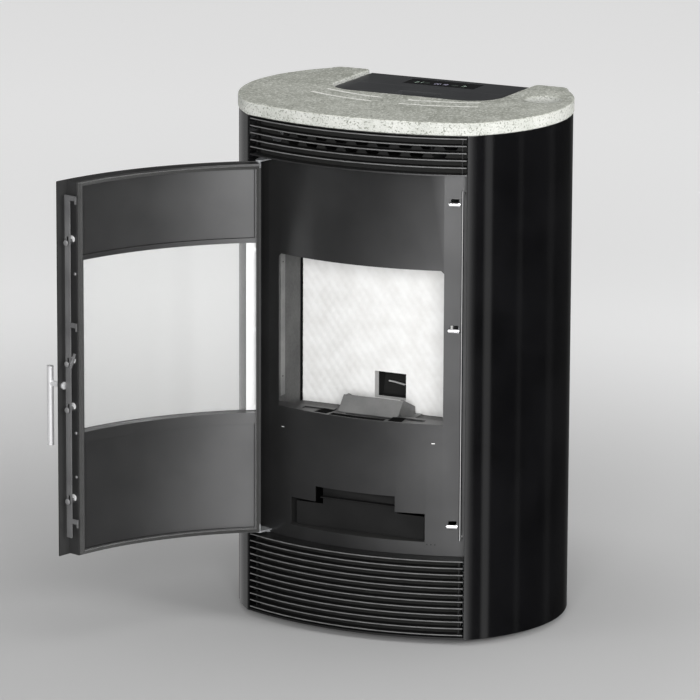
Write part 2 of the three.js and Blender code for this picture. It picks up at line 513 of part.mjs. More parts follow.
piece('burn_pot', burnPot(), CAST);

// Pot seat: the air box under the firebox floor, open at the bottom for the ash.
const SEAT_Z0 = POT_Z0 - 14;
piece('pot_seat', cut(box(-POT_HALF - 14, POT_HALF + 14, POT_Y0 - 6, POT_Y1 + 6, SEAT_Z0,
  FIRE_Z0 - SHEET - GAP), box(-POT_HALF - 4, POT_HALF + 4, POT_Y0 - 3, POT_Y1 + 3,
  SEAT_Z0 - 9, FIRE_Z0 + 9), box(-8, 8, POT_Y1, POT_Y1 + 20, POT_Z0 + 8, POT_Z0 + 24)), ZINC);
piece('igniter', alongY(join(rod(5, -38, 30), rod(9, 14, 46), rod(16, 45.3, 48)), 0, POT_Y1 + 41,
  POT_Z0 + 16), ZINC);

// Ash chamber: an open-topped box between the drawer mouth and the firebox floor.
const CHAMBER = { half: ASH_HALF + 5, z0: ASH_Z0 - 1.6, yBack: 34 };
const chamberTop = FIRE_Z0 - SHEET - GAP;
piece('ash_chamber', cut(prism([...arc(0, BOW_CY, BOW_R - fireFront,
  [-CHAMBER.half, bowY(CHAMBER.half, fireFront)], [CHAMBER.half, bowY(CHAMBER.half, fireFront)], 8),
[CHAMBER.half, CHAMBER.yBack], [-CHAMBER.half, CHAMBER.yBack]], CHAMBER.z0, chamberTop),
box(-CHAMBER.half + SHEET, CHAMBER.half - SHEET, -300, CHAMBER.yBack - SHEET,
  CHAMBER.z0 + SHEET, 999), box(-12, 12, 20, 50, 395, 423)), ZINC);

// Ash drawer: a tray with a stepped front that follows the two openings.
const DRAWER = { half: ASH_HALF - 7, y0: bowY(ASH_HALF, fireFront) + 7, y1: 18,
  z0: CHAMBER.z0 + SHEET + GAP, h: 50 };
piece('ash_drawer', join(
  cut(box(-DRAWER.half, DRAWER.half, DRAWER.y0, DRAWER.y1, DRAWER.z0, DRAWER.z0 + DRAWER.h),
    box(-DRAWER.half + SHEET, DRAWER.half - SHEET, DRAWER.y0 + SHEET, DRAWER.y1 - SHEET,
      DRAWER.z0 + SHEET, 999)),
  box(-86, 86, DRAWER.y0, DRAWER.y0 + SHEET, DRAWER.z0 + 20, 284),
  box(-86, 86, DRAWER.y0 - 14, DRAWER.y0 + SHEET, 264, 266)), BLACK_STEEL);

// ================================================================ hopper and pellet feed
const hopperTop = TOP_Z0 - GAP;
const hopperRings = (t) => {
  const H = HOPPER;
  return [
    [-42 + t, 42 - t, 96 + t, 150 - t, 500],
    [-42 + t, 42 - t, 96 + t, 150 - t, 640],
    [-H.half + t, H.half - t, H.y0 + t, H.y1 - t, 800],
    [-H.half + t, H.half - t, H.y0 + t, H.y1 - t, hopperTop - 75],
    [-H.mouthHalf - 2 + t, H.mouthHalf + 2 - t, H.mouthY0 - 2 + t, H.mouthY1 + 2 - t,
      hopperTop - 25],
    [-H.mouthHalf - 2 + t, H.mouthHalf + 2 - t, H.mouthY0 - 2 + t, H.mouthY1 + 2 - t, hopperTop],
  ];
};
const hopperInner = hopperRings(SHEET).map((r, i) => (i === 0 ? [...r.slice(0, 4), 400]
  : i === 5 ? [...r.slice(0, 4), hopperTop + 40] : r));
// The auger lies on a slope; its pieces are made upright and turned into place together.
const augerDir = [AUGER.high[0] - AUGER.low[0], AUGER.high[1] - AUGER.low[1]];
const AUGER_L = Math.hypot(...augerDir);
const augerTilt = Math.atan2(augerDir[0], augerDir[1]);
const placeAuger = (geo) => geo.rotateX(-augerTilt).translate(0, AUGER.low[0], AUGER.low[1]);
const augerBlank = (extra) => placeAuger(rod(AUGER.r + extra, -4, AUGER_L + 4, 20));
piece('hopper', cut(cut(loft(hopperRings(0)), loft(hopperInner)), augerBlank(GAP)), ZINC);
const spoutCut = box(-24, 24, 8, 40, 62, 112);
const chuteCut = box(-24, 24, -40, -8, AUGER_L - 52, AUGER_L - 6);
piece('auger_tube', placeAuger(cut(join(tube(AUGER.r, AUGER.wall, 0, AUGER_L, 20),
  turned([[AUGER.shaft + 1, -3], [AUGER.r + 6, -3], [AUGER.r + 6, 3], [AUGER.shaft + 1, 3],
    [AUGER.shaft + 1, -3]], 20), turned([[0, AUGER_L - 2], [AUGER.r, AUGER_L - 2],
    [AUGER.r, AUGER_L + 2], [0, AUGER_L + 2]], 20)), spoutCut, chuteCut)), ZINC);

function screw() {
  const turns = 4, perTurn = 12, n = turns * perTurn, z0 = 12, z1 = AUGER_L - 10, t = 2;
  const pos = [], idx = [];
  for (let i = 0; i <= n; i += 1) {
    const a = (2 * Math.PI * i) / perTurn, z = z0 + ((z1 - z0) * i) / n;
    for (const [r, dz] of [[AUGER.shaft - 3, 0], [AUGER.flight, 0], [AUGER.flight, t],
      [AUGER.shaft - 3, t]]) pos.push(r * Math.cos(a), r * Math.sin(a), z + dz);
  }
  for (let i = 0; i < n; i += 1) {
    for (let k = 0; k < 4; k += 1) {
      const a = 4 * i + k, b = 4 * i + ((k + 1) % 4);
      idx.push(a, a + 4, b, b, a + 4, b + 4);
    }
  }
  const e = 4 * n;
  idx.push(0, 1, 2, 0, 2, 3, e, e + 2, e + 1, e, e + 3, e + 2);
  const geo = new THREE.BufferGeometry();
  geo.setAttribute('position', new THREE.Float32BufferAttribute(pos, 3));
  geo.setIndex(idx);
  return placeAuger(join(rod(AUGER.shaft, -9, AUGER_L - 4, 12), geo));
}
piece('auger_screw', screw(), ZINC);
piece('auger_gearmotor', placeAuger(cut(join(rod(20, -95, -50, 16),
  box(-32, 32, -26, 26, -52, -20), rod(30, -21, -3.3, 16)), rod(AUGER.shaft + 1, -9.5, 0, 12))),
BLACK_STEEL);

// Pellet chute: a square duct from the auger's high end down to the hole in the firebox.
const chuteOuter = [[FIRE_BACK + GAP, CHUTE_Z0 - 2], [FIRE_BACK + GAP, CHUTE_Z1 + 2],
  [-13, 572], [24, 613], [54, 583], [21.5, 520], [4, CHUTE_Z0 - 2]];
const chuteInner = [[FIRE_BACK - 9, CHUTE_Z0], [FIRE_BACK - 9, CHUTE_Z1],
  [-10.5, 573], [27, 612], [50, 589], [19, 521], [2, CHUTE_Z0]];
piece('pellet_chute', cut(prismX(chuteOuter, -CHUTE_HALF - 2, CHUTE_HALF + 2),
  prismX(chuteInner, -CHUTE_HALF, CHUTE_HALF), augerBlank(GAP)), ZINC);

// ================================================================ exhaust and air
const fanBack = FAN.y + FAN.depth / 2;
const ring = (r, y0, y1, n = 24) => alongY(rod(r, 0, y1 - y0, n), FAN.x, y0, FAN.z);
piece('exhaust_fan_housing', cut(join(ring(FAN.r, FAN.y - FAN.depth / 2, fanBack),
  box(FAN.x - 40, FAN.x + 40, FAN.y - 20, FAN.y + 20, BASE_T + GAP, FAN.z - FAN.r + 10)),
ring(FAN.r - 3, FAN.y - FAN.depth / 2 + 3, fanBack - 3),
ring(28, FAN.y - 60, FAN.y), ring(FLUE_R - 2, FAN.y, fanBack + 9)), CAST);
function wheel() {
  const blades = Array.from({ length: 10 }, (_, i) => box(14, FAN.wheel, -1, 1, 0, 26)
    .rotateZ(rad(36 * i)));
  const hub = join(rod(FAN.wheel, -2, 0.5, 20), rod(16, -2, 18, 12), rod(5, -34, 1, 10), ...blades);
  return alongY(hub, FAN.x, FAN.y - 12, FAN.z);
}
piece('exhaust_wheel', wheel(), ZINC);
piece('exhaust_motor', cut(alongY(join(rod(30, 0, 44, 18), rod(38, 44, 48, 18)), FAN.x,
  FAN.y - FAN.depth / 2 - 48.3, FAN.z), alongY(rod(6, 0, 60, 12), FAN.x,
  FAN.y - FAN.depth / 2 - 18, FAN.z)), BLACK_STEEL);
piece('flue_spigot', alongY(tube(FLUE_R, 2, 0, BACK_Y + FLUE_OUT - fanBack - GAP, 24), FAN.x,
  fanBack + GAP, FAN.z), BLACK_STEEL);
piece('air_intake_pipe', alongY(tube(INTAKE.r, 1.5, 0, 70 + INTAKE.out, 18), INTAKE.x,
  BACK_Y - 70, INTAKE.z), ZINC);

function blowerDrum() {
  const blades = Array.from({ length: 12 }, (_, i) => box(BLOWER.r - 9, BLOWER.r - 2, -1, 1,
    4, BLOWER.x1 - BLOWER.x0 - 14).rotateZ(rad(30 * i)));
  const len = BLOWER.x1 - BLOWER.x0 - 10;
  const parts = [rod(BLOWER.r - 1, 3, 5, 16), rod(BLOWER.r - 1, len - 5, len - 3, 16),
    rod(3, -12, len + 6, 8), ...blades];
  return alongX(join(...parts), BLOWER.x0 + 5, BLOWER.y, BLOWER.z);
}
piece('room_fan_drum', blowerDrum(), ZINC);
const scroll = [[BLOWER.y - 38, BASE_T + GAP], [BLOWER.y + 36, BASE_T + GAP],
  [BLOWER.y + 36, 112], [BLOWER.y + 30, 112], [BLOWER.y + 30, 130], [BLOWER.y - 44, 130],
  [BLOWER.y - 44, 92], [BLOWER.y - 38, 80]];
const scrollIn = [[BLOWER.y - 33, 26], [BLOWER.y + 33, 26], [BLOWER.y + 33, 104],
  [BLOWER.y + 4, 110], [BLOWER.y + 4, 140], [BLOWER.y - 36, 140], [BLOWER.y - 36, 92]];
piece('room_fan_housing', cut(prismX(scroll, BLOWER.x0 - 2, BLOWER.x1 + 2),
  prismX(scrollIn, BLOWER.x0, BLOWER.x1), alongX(rod(4, -20, 300, 8), BLOWER.x0, BLOWER.y,
    BLOWER.z)), BLACK_STEEL);

// Heat exchanger: tubes between the firebox roof and the outlet plate, in a folded duct.
const exTubes = [-136, -68, 0, 68, 136];
const EX_Z1 = PLATE_Z1 - 36;                  // top of the tube plate
piece('heat_exchanger', cut(join(
  box(-180, 180, -150, -30, FIRE_Z1 + SHEET + GAP, FIRE_Z1 + SHEET + 6),
  box(-180, 180, -150, -30, EX_Z1 - 6, EX_Z1),
  ...exTubes.map((x) => rod(24, FIRE_Z1 + SHEET + 3, EX_Z1 - 3, 12).translate(x, -90, 0))),
...exTubes.map((x) => rod(21, FIRE_Z1 - 9, EX_Z1 + 9, 12).translate(x, -90, 0))), CAST);
const ductFront = bowY(170, OUTLET_D + SHEET + GAP) + 0.5;
const ductKnee = [bowY(170, PLATE_D + PLATE_T) + 8, PLATE_Z1 + 1];
const ductZ0 = EX_Z1 + GAP + 0.1, ductBend = PLATE_Z1 + 18;
piece('air_duct', cut(prismX([[-26, ductZ0], [-26, ductBend], [-120, TOP_Z0 - GAP],
  [ductFront, TOP_Z0 - GAP], [ductFront, ductKnee[1]], ductKnee, [-154, ductZ0]], -170, 170),
prismX([[-28, ductZ0 - 9], [-28, ductBend - 1], [-121, TOP_Z0 - GAP - SHEET],
  [-260, TOP_Z0 - GAP - SHEET], [-260, ductKnee[1] + SHEET],
  [ductKnee[0] + 1.5, ductKnee[1] + SHEET], [-152, ductZ0 + 1.6], [-152, ductZ0 - 9]],
-168, 168)), ZINC);

// ================================================================ electrics
const boardY = BACK_IN - SHEET - GAP;
piece('control_board', join(box(-225, -125, boardY - 8, boardY, 300, 460),
  box(-215, -180, boardY - 34, boardY - 7, 320, 370), box(-170, -140, boardY - 26, boardY - 7,
    400, 440), box(-215, -160, boardY - 18, boardY - 7, 410, 450)), BOARD);
piece('power_inlet', cut(join(box(INLET.x - INLET.w / 2 + GAP, INLET.x + INLET.w / 2 - GAP,
  boardY - 26, BACK_IN + 1, INLET.z - INLET.h / 2 + GAP, INLET.z + INLET.h / 2 - GAP),
box(INLET.x - INLET.w / 2 - 3, INLET.x + INLET.w / 2 + 3, BACK_IN + GAP, BACK_IN + 3,
  INLET.z - INLET.h / 2 - 3, INLET.z + INLET.h / 2 + 3)),
box(INLET.x - 12, INLET.x + 12, BACK_IN - 14, BACK_IN + 9, INLET.z - 22, INLET.z - 5),
box(INLET.x - 11, INLET.x + 11, BACK_IN - 3, BACK_IN + 9, INLET.z + 5, INLET.z + 20)), PLASTIC);

// ================================================================ door
// Everything here is placed as with the door shut; the group swings it open.
const door = new THREE.Group();
door.position.set(A[0], A[1], 0);
door.rotation.z = -rad(DOOR_OPEN);
const shut = new THREE.Group();
shut.position.set(-A[0], -A[1], 0);
door.add(shut);
stove.add(door);

const hingeEdge = -DOOR_HALF + 6;             // the box starts inside the skin's edge
const PINS_Z = [839, 585, 488, 294], PIN_D = 15;
const windowTool = band(WIN_X0, WIN_X1, -9, 60, WIN_Z0, WIN_Z1, 14);
const knuckleRelief = rod(PIN_R + GAP + 0.2, 0, 2000, 12).translate(A[0], A[1], 0);
const SPINDLE_R = 5.5;
const spindleHole = atBow(rod(SPINDLE_R + GAP, -9, 9).rotateX(Math.PI / 2), HANDLE_X, 0, HANDLE_Z);
piece('door_skin', cut(band(-DOOR_HALF, DOOR_HALF + 2, 0, SKIN_T, DOOR_Z0, DOOR_Z1, 20),
  windowTool, spindleHole), GLOSS_BLACK, shut);
function doorFrame() {
  const d0 = SKIN_T + GAP;
  const body = band(hingeEdge, LATCH_X, d0, DOOR_D, DOOR_Z0 + 1, DOOR_Z1 - 1, 18);
  const hollowTop = band(hingeEdge + 10, LATCH_X - 12, d0 + 2, 60, WIN_Z1 + 10, DOOR_Z1 - 12, 16);
  const hollowLow = band(hingeEdge + 10, LATCH_X - 12, d0 + 2, 60, DOOR_Z0 + 12, WIN_Z0 - 24, 16);
  const glassSeat = band(WIN_X0 - 1.2, WIN_X1 + 8, d0 - 5, GLASS_D + GLASS_T + GAP, WIN_Z0 - 8,
    WIN_Z1 + 8, 14);
  const pins = PINS_Z.map((z) => atBow(alongX(join(rod(3, -3, 16.6, 8), rod(6, -3, 9.6, 8),
    rod(6, 14.2, 16, 8)), 0, 0, 0), LATCH_X, PIN_D, z));
  return join(cut(body, hollowTop, hollowLow, windowTool, glassSeat, knuckleRelief), ...pins);
}
piece('door_frame', doorFrame(), GREY_STEEL, shut);
const panelD = DOOR_D - 6;
piece('door_panel_upper', band(hingeEdge + 10.5, LATCH_X - 12.5, panelD, panelD + SHEET,
  WIN_Z1 + 10.4, DOOR_Z1 - 12.4, 14), GREY_STEEL, shut);
piece('door_panel_lower', band(hingeEdge + 10.5, LATCH_X - 12.5, panelD, panelD + SHEET,
  DOOR_Z0 + 12.4, WIN_Z0 - 24.4, 14), GREY_STEEL, shut);
piece('door_glass', band(WIN_X0 - 0.8, WIN_X1 + 7, GLASS_D, GLASS_D + GLASS_T, WIN_Z0 - 7,
  WIN_Z1 + 7, 14), GLASS, shut);
piece('glass_retainer', join(band(WIN_X0 + 0.4, WIN_X0 + 23, GLASS_D + GLASS_T + 0.4,
  GLASS_D + GLASS_T + 2, WIN_Z0 + 1, WIN_Z1 - 1, 2), ...[781, 612, 445].map((z) => band(
  WIN_X0 + 0.4, WIN_X0 + 5, GLASS_D + GLASS_T + 1, DOOR_D - 8, z - 4, z + 4, 1))), ZINC, shut);
function sealRing(x0, x1, z0, z1, w) {
  const d0 = DOOR_D + GAP, d1 = PLATE_D - 1.2;
  return join(band(x0, x1, d0, d1, z0, z0 + w, 14), band(x0, x1, d0, d1, z1 - w, z1, 14),
    band(x0, x0 + w, d0, d1, z0, z1, 1), band(x1 - w, x1, d0, d1, z0, z1, 1));
}
piece('door_seal', sealRing(hingeEdge + 1.5, LATCH_X - 2, DOOR_Z0 + 4, DOOR_Z1 - 4, 6), ROPE,
  shut);

// Lock bar: runs up the latch channel on the guide pins, with three hooks on it.
const BAR_D0 = 8, BAR_D1 = 22;
function lockBar() {
  const x0 = LATCH_X + 10, x1 = LATCH_X + 13;
  const bar = band(x0, x1, BAR_D0, BAR_D1, DOOR_Z0 + 39, DOOR_Z1 - 29, 1);
  const tip = [CATCH_D + CATCH_R + 2 * GAP, PLATE_D - 2 * GAP];   // behind the pin
  const hooks = HOOK_Z.flatMap((z) => [
    band(x0, x1, BAR_D1 - 4, tip[1], z + 14, z + 24, 1),
    band(x0, x1, tip[0], tip[1], z + 7, z + 24, 1),
  ]);
  const slots = PINS_Z.map((z) => atBow(box(6, 18, -3.5, 3.5, -4, HOOK_DROP + 4),
    LATCH_X, PIN_D, z));
  return cut(join(bar, ...hooks), ...slots);
}
piece('lock_bar', lockBar(), ZINC, shut);

// Handle: a round bar on a spindle that passes through the skin's latch edge.
const handle = new THREE.Group();
const [hx, hy] = bow(HANDLE_X, 0);
handle.position.set(hx, hy, HANDLE_Z);
handle.rotation.z = Math.asin(HANDLE_X / BOW_R);
shut.add(handle);
piece('door_handle', join(rod(7, -131, 36, 16).translate(0, -35, 0),
  rod(SPINDLE_R, -6.5, 32, 12).rotateX(Math.PI / 2),
  rod(9, GAP, 3.5, 12).rotateX(Math.PI / 2),
  rod(8, -6.5, -SKIN_T - GAP, 12).rotateX(Math.PI / 2)), CHROME, handle);

export default stove;
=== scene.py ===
# %% [markdown]
# A pellet stove, seen with its door open
# =======================================
# The stove is a tall black drum with a bowed front, a soapstone top and a glazed door. The
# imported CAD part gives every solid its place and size. This file gives each solid its
# surface: it rounds the edges, smooths the curved sheets and adds the small things that are
# too fine for the CAD part, such as screws, a spring, the quilting of the fire board and
# the lit digits. Everything is in metres, in the CAD part's own frame: +Z is up and the
# door faces -Y.

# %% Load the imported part
import json
import math

import bmesh
import bpy
import numpy as np
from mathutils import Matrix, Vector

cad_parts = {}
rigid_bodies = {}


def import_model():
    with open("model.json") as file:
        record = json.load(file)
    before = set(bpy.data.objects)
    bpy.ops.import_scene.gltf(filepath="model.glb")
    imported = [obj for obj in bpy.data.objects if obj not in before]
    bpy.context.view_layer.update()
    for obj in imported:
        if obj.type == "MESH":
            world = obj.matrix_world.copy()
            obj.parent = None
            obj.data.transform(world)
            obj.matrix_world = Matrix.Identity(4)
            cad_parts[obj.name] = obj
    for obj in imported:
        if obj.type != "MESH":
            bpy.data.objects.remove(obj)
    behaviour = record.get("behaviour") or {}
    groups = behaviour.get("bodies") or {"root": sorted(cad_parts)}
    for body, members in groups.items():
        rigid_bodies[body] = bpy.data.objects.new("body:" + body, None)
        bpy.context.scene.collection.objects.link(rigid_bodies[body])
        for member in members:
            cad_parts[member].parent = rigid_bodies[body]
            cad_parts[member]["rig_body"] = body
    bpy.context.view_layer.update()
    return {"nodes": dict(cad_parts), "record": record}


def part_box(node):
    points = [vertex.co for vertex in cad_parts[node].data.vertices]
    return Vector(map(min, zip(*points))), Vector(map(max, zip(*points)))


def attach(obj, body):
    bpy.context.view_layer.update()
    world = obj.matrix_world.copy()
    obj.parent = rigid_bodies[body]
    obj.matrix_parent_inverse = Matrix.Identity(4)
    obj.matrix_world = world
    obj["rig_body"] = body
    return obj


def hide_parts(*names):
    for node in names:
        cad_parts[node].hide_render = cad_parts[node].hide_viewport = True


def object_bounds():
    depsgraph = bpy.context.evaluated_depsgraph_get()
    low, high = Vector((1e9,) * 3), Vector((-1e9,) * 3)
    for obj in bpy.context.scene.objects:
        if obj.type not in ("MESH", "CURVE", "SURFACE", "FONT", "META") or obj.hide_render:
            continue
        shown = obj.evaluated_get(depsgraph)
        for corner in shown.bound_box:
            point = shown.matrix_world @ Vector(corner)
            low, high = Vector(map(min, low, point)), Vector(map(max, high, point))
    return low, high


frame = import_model()

# %% [markdown]
# Driving sizes
# -------------
# The front is a piece of a large circle, and every sheet behind it is a smaller circle
# about the same centre. So one centre and one radius place the grilles, the front plate
# and the door. The door is drawn shut, because it is simplest there, and then turned about
# its hinge pin to where it stands.

# %% Sizes of the bowed front, in metres
BOW_R = 0.639                    # radius of the bow
FRONT_Y = -0.200                 # the two front corners
FRONT_HALF = 0.254               # half the distance between them
BOW_CY = FRONT_Y + math.sqrt(BOW_R ** 2 - FRONT_HALF ** 2)
BOW_MIDDLE = np.array([0.0, BOW_CY, 0.0])
PLATE_D = 0.040                  # front plate, behind the bow
DOOR_OPEN = math.radians(125.3)
DOOR_HALF = 0.234                # half the door's width, at its skin
PIN_IN, PIN_ALONG = 0.0085, 0.0051      # pin from the skin's left end: inwards, sideways


def bow(x, depth):
    """The point that lies `depth` behind the bow in line with skin position x.

    The angle a has sin a = x / R, and the point is at radius R - depth on that angle.
    """
    a = np.arcsin(np.asarray(x, float) / BOW_R)
    r = BOW_R - np.asarray(depth, float)
    return r * np.sin(a), BOW_CY - r * np.cos(a)


def hinge_pin():
    """The skin's left end, moved PIN_ALONG along the bow and PIN_IN towards its centre."""
    x, y = bow(-DOOR_HALF, 0.0)
    a = math.asin(x / BOW_R)
    return (float(x + PIN_ALONG * math.cos(a) - PIN_IN * math.sin(a)),
            float(y + PIN_ALONG * math.sin(a) + PIN_IN * math.cos(a)))


PIN = hinge_pin()
print("bow centre y %.4f, hinge pin at %.4f, %.4f" % (BOW_CY, *PIN))


# %% Turn points from the shut door to the open one
def opened(points):
    """Each point turned clockwise by the door's angle about the hinge pin."""
    p = np.array(points, float)
    c, s = math.cos(-DOOR_OPEN), math.sin(-DOOR_OPEN)
    dx, dy = p[..., 0] - PIN[0], p[..., 1] - PIN[1]
    p[..., 0] = PIN[0] + c * dx - s * dy
    p[..., 1] = PIN[1] + s * dx + c * dy
    return p


print("the door's latch edge stands at", opened([[*bow(DOOR_HALF, 0.0), 0.5]]).round(3))

# %% [markdown]
# Camera
# ------
# The picture was taken from far off with a long lens, 26 degrees round to the right of the
# stove's front and 13 degrees above it. A long lens keeps upright edges almost parallel.

# %% Camera at the photograph's angle
CAM_PLACE = (5.062, -10.428, 3.265)
CAM_YAW, CAM_PITCH, CAM_ROLL = 26.458, 13.19, -0.244     # degrees
CAM_FOCAL = 5670.6 / 700                                 # in frame widths
SENSOR = 36.0                                            # millimetres

camera_data = bpy.data.cameras.new("camera")
camera_data.sensor_width = SENSOR
camera_data.lens = SENSOR * CAM_FOCAL
camera_data.clip_end = 100.0
camera = bpy.data.objects.new("camera", camera_data)
camera.location = CAM_PLACE
camera.rotation_mode = "XYZ"
camera.rotation_euler = (math.radians(90 - CAM_PITCH), math.radians(CAM_ROLL),
                         math.radians(CAM_YAW))
bpy.context.scene.collection.objects.link(camera)
bpy.context.scene.camera = camera
print("lens %.0f mm" % camera_data.lens)

# %% [markdown]
# Meshes from whole arrays
# ------------------------
# A swept or turned surface is a grid of points: rows along the path, columns round the
# section. The grid is worked out as one numpy array and goes into the mesh in one call.
# The faces between neighbouring rows and columns follow from the grid's size alone.


# %% Put a mesh into the scene as a finished piece
def smooth(mesh, degrees):
    """Shade faces as one surface where they meet at less than `degrees`."""
    mesh.shade_smooth()
    mesh.set_sharp_from_angle(angle=math.radians(degrees))


def outward(points, faces):
    """The faces, all turned round if the volume that they enclose comes out negative.

    Six times the volume is the sum of a . (b x c) over the triangles a, b, c of the faces.
    """
    p = points - points.mean(0)
    tri = np.array([(f[0], f[k], f[k + 1]) for f in faces for k in range(1, len(f) - 1)])
    volume = (p[tri[:, 0]] * np.cross(p[tri[:, 1]], p[tri[:, 2]])).sum()
    return faces if volume > 0 else [list(f)[::-1] for f in faces]


def piece(name, points, faces, look, body, slot, degrees=32, replaces=()):
    """A new object at the origin with its place in its points, riding on a CAD body."""
    points = np.asarray(points, float).reshape(-1, 3)
    mesh = bpy.data.meshes.new(name)
    mesh.from_pydata(points.tolist(), [], outward(points, faces))
    mesh.validate()
    mesh.materials.append(look)
    smooth(mesh, degrees)
    obj = bpy.data.objects.new(name, mesh)
    bpy.context.scene.collection.objects.link(obj)
    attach(obj, body)
    if replaces:
        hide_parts(*replaces)


def grid_faces(rows, cols, close_cols=True):
    """Quads between neighbouring rows and columns of a rows x cols grid of points."""
    i = np.arange(rows - 1)[:, None]
    j = np.arange(cols if close_cols else cols - 1)[None, :]
    a = i * cols + j
    b = i * cols + (j + 1) % cols
    return np.stack([a, b, b + cols, a + cols], -1).reshape(-1, 4).tolist()


def capped(grid):
    """A grid of points, closed round its columns, with a face over each end."""
    rows, cols = grid.shape[:2]
    faces = grid_faces(rows, cols)
    faces += [list(range(cols))[::-1], list(range((rows - 1) * cols, rows * cols))]
    return grid.reshape(-1, 3), faces


# %% Sweep a round or flat section along a path
def sweep(path, section):
    """Points of a section carried along a path, and the faces between them.

    At each path point the tangent t is the step between its neighbours. The section's
    first axis is t x up, its second is the first axis x t, and a section point (u, v)
    goes to path + u * first + v * second.
    """
    p = np.asarray(path, float)
    t = np.gradient(p, axis=0)
    t /= np.linalg.norm(t, axis=1, keepdims=True)
    up = np.array([0.0, 0.0, 1.0])
    level = np.abs(t @ up) < 0.98
    ref = np.where(level[:, None], up, np.array([1.0, 0.0, 0.0]))
    first = np.cross(t, ref)
    first /= np.linalg.norm(first, axis=1, keepdims=True)
    second = np.cross(first, t)
    s = np.asarray(section, float)
    points = (p[:, None, :] + s[None, :, 0, None] * first[:, None, :]
              + s[None, :, 1, None] * second[:, None, :])
    return capped(points)


def disc(radius, n):
    """n points round a circle: radius * (cos, sin)."""
    t = np.linspace(0, 2 * np.pi, n, endpoint=False)
    return np.stack([radius * np.cos(t), radius * np.sin(t)], 1)


# %% Turn a profile round an axis
def turned(profile, centre, axis, n=24):
    """A profile of (radius, height) turned about an axis through centre.

    Row i is the circle of radius r_i in the plane across the axis, lifted by its height
    along it. The first and last radii are near zero, so the ends are closed by fans.
    """
    prof = np.asarray(profile, float)
    k = np.asarray(axis, float) / np.linalg.norm(axis)
    side = np.cross(k, [0.0, 0.0, 1.0]) if abs(k[2]) < 0.9 else np.cross(k, [1.0, 0, 0])
    side /= np.linalg.norm(side)
    other = np.cross(k, side)
    t = np.linspace(0, 2 * np.pi, n, endpoint=False)
    round_ = np.cos(t)[:, None] * side + np.sin(t)[:, None] * other
    points = (np.asarray(centre, float) + prof[:, 0, None, None] * round_[None]
              + prof[:, 1, None, None] * k)
    return capped(points)


def merged(parts):
    """Several (points, faces) shapes as one mesh, with the face numbers moved on."""
    points, faces, start = [], [], 0
    for p, f in parts:
        points.append(np.asarray(p, float).reshape(-1, 3))
        faces += [[i + start for i in face] for face in outward(points[-1], f)]
        start += len(points[-1])
    return np.concatenate(points), faces


# %% Blocks bent along the bow, and thin slabs
def band(x0, x1, d0, d1, z0, z1, steps=1):
    """A block from skin position x0 to x1, from depth d0 to d1 and from z0 to z1."""
    x = np.linspace(x0, x1, steps + 1)[:, None]
    px, py = bow(x, np.array([[d0, d1, d1, d0]]))
    pz = np.broadcast_to([[z0, z0, z1, z1]], px.shape)
    return capped(np.stack([px, py, pz], -1))


def block(x0, x1, y0, y1, z0, z1):
    """A plain block between two corners."""
    ring = np.array([[x0, y0], [x1, y0], [x1, y1], [x0, y1]])
    low = np.column_stack([ring, np.full(4, z0)])
    return capped(np.stack([low, low + [0, 0, z1 - z0]]))


def slab(front, back, faces):
    """Two matching sheets of points joined by walls along every open edge.

    An edge of the front sheet is open when no neighbouring face runs along it the other
    way; each such edge becomes one wall face between the two sheets.
    """
    n = len(front)
    f = np.array(faces)
    a, b = f.ravel(), np.roll(f, -1, 1).ravel()
    open_edge = ~np.isin(a * n + b, b * n + a)
    a, b = a[open_edge], b[open_edge]
    walls = np.stack([b, a, a + n, b + n], -1)
    return (np.concatenate([front, back]),
            faces + (f[:, ::-1] + n).tolist() + walls.tolist())


print("mesh helpers ready")

# %% [markdown]
# Studio: floor, backdrop and lamps
# ---------------------------------
# The stove stands on a plain pale floor that runs out of sight. Its light is painted: the
# floor's colour gets lighter with distance, and it glows faintly for the camera, as a lit
# paper sweep looks. A gloss black casing has almost no colour of its own: it shows
# whatever stands around it. In this studio a bright wall runs from the camera round to its
# right, dark flats with narrow gaps stand beyond it and behind the stove, and the left is
# dim. So the world answers a mirrored ray by its compass direction, and any other ray
# plainly.


# %% Small node helpers
def node(tree, kind, **values):
    """Add a node and set its inputs by name (spaces written as underscores)."""
    n = tree.nodes.new(kind)
    for key, value in values.items():
        name = key.replace("_", " ")
        if name in n.inputs:
            n.inputs[name].default_value = value
        else:
            setattr(n, key, value)
    return n


def on_object(tree, kind, **values):
    """A node that reads the piece's own coordinates."""
    n = node(tree, kind, **values)
    tree.links.new(node(tree, "ShaderNodeTexCoord").outputs["Object"], n.inputs[0])
    return n


def math_node(tree, operation, a, b=None):
    """One Math node: a and b are numbers or sockets; returns its output socket."""
    n = tree.nodes.new("ShaderNodeMath")
    n.operation = operation
    for k, value in enumerate((a, b)):
        if value is None:
            continue
        if isinstance(value, (int, float)):
            n.inputs[k].default_value = value
        else:
            tree.links.new(value, n.inputs[k])
    return n.outputs[0]


def ramp(tree, fac, stops):
    """A colour ramp through (position, colour) stops; a number is a grey."""
    n = tree.nodes.new("ShaderNodeValToRGB")
    n.color_ramp.interpolation = "EASE"
    elements = n.color_ramp.elements
    while len(elements) > 1:
        elements.remove(elements[-1])
    for k, (at, colour) in enumerate(stops):
        e = elements[0] if k == 0 else elements.new(at)
        e.position = at
        rgb = (colour,) * 3 if isinstance(colour, (int, float)) else colour
        e.color = (*rgb, 1.0)
    tree.links.new(fac, n.inputs["Fac"])
    return n.outputs["Color"]


MIX_UNDER, MIX_OVER, MIX_RESULT = 6, 7, 2        # the colour sockets of a Mix node


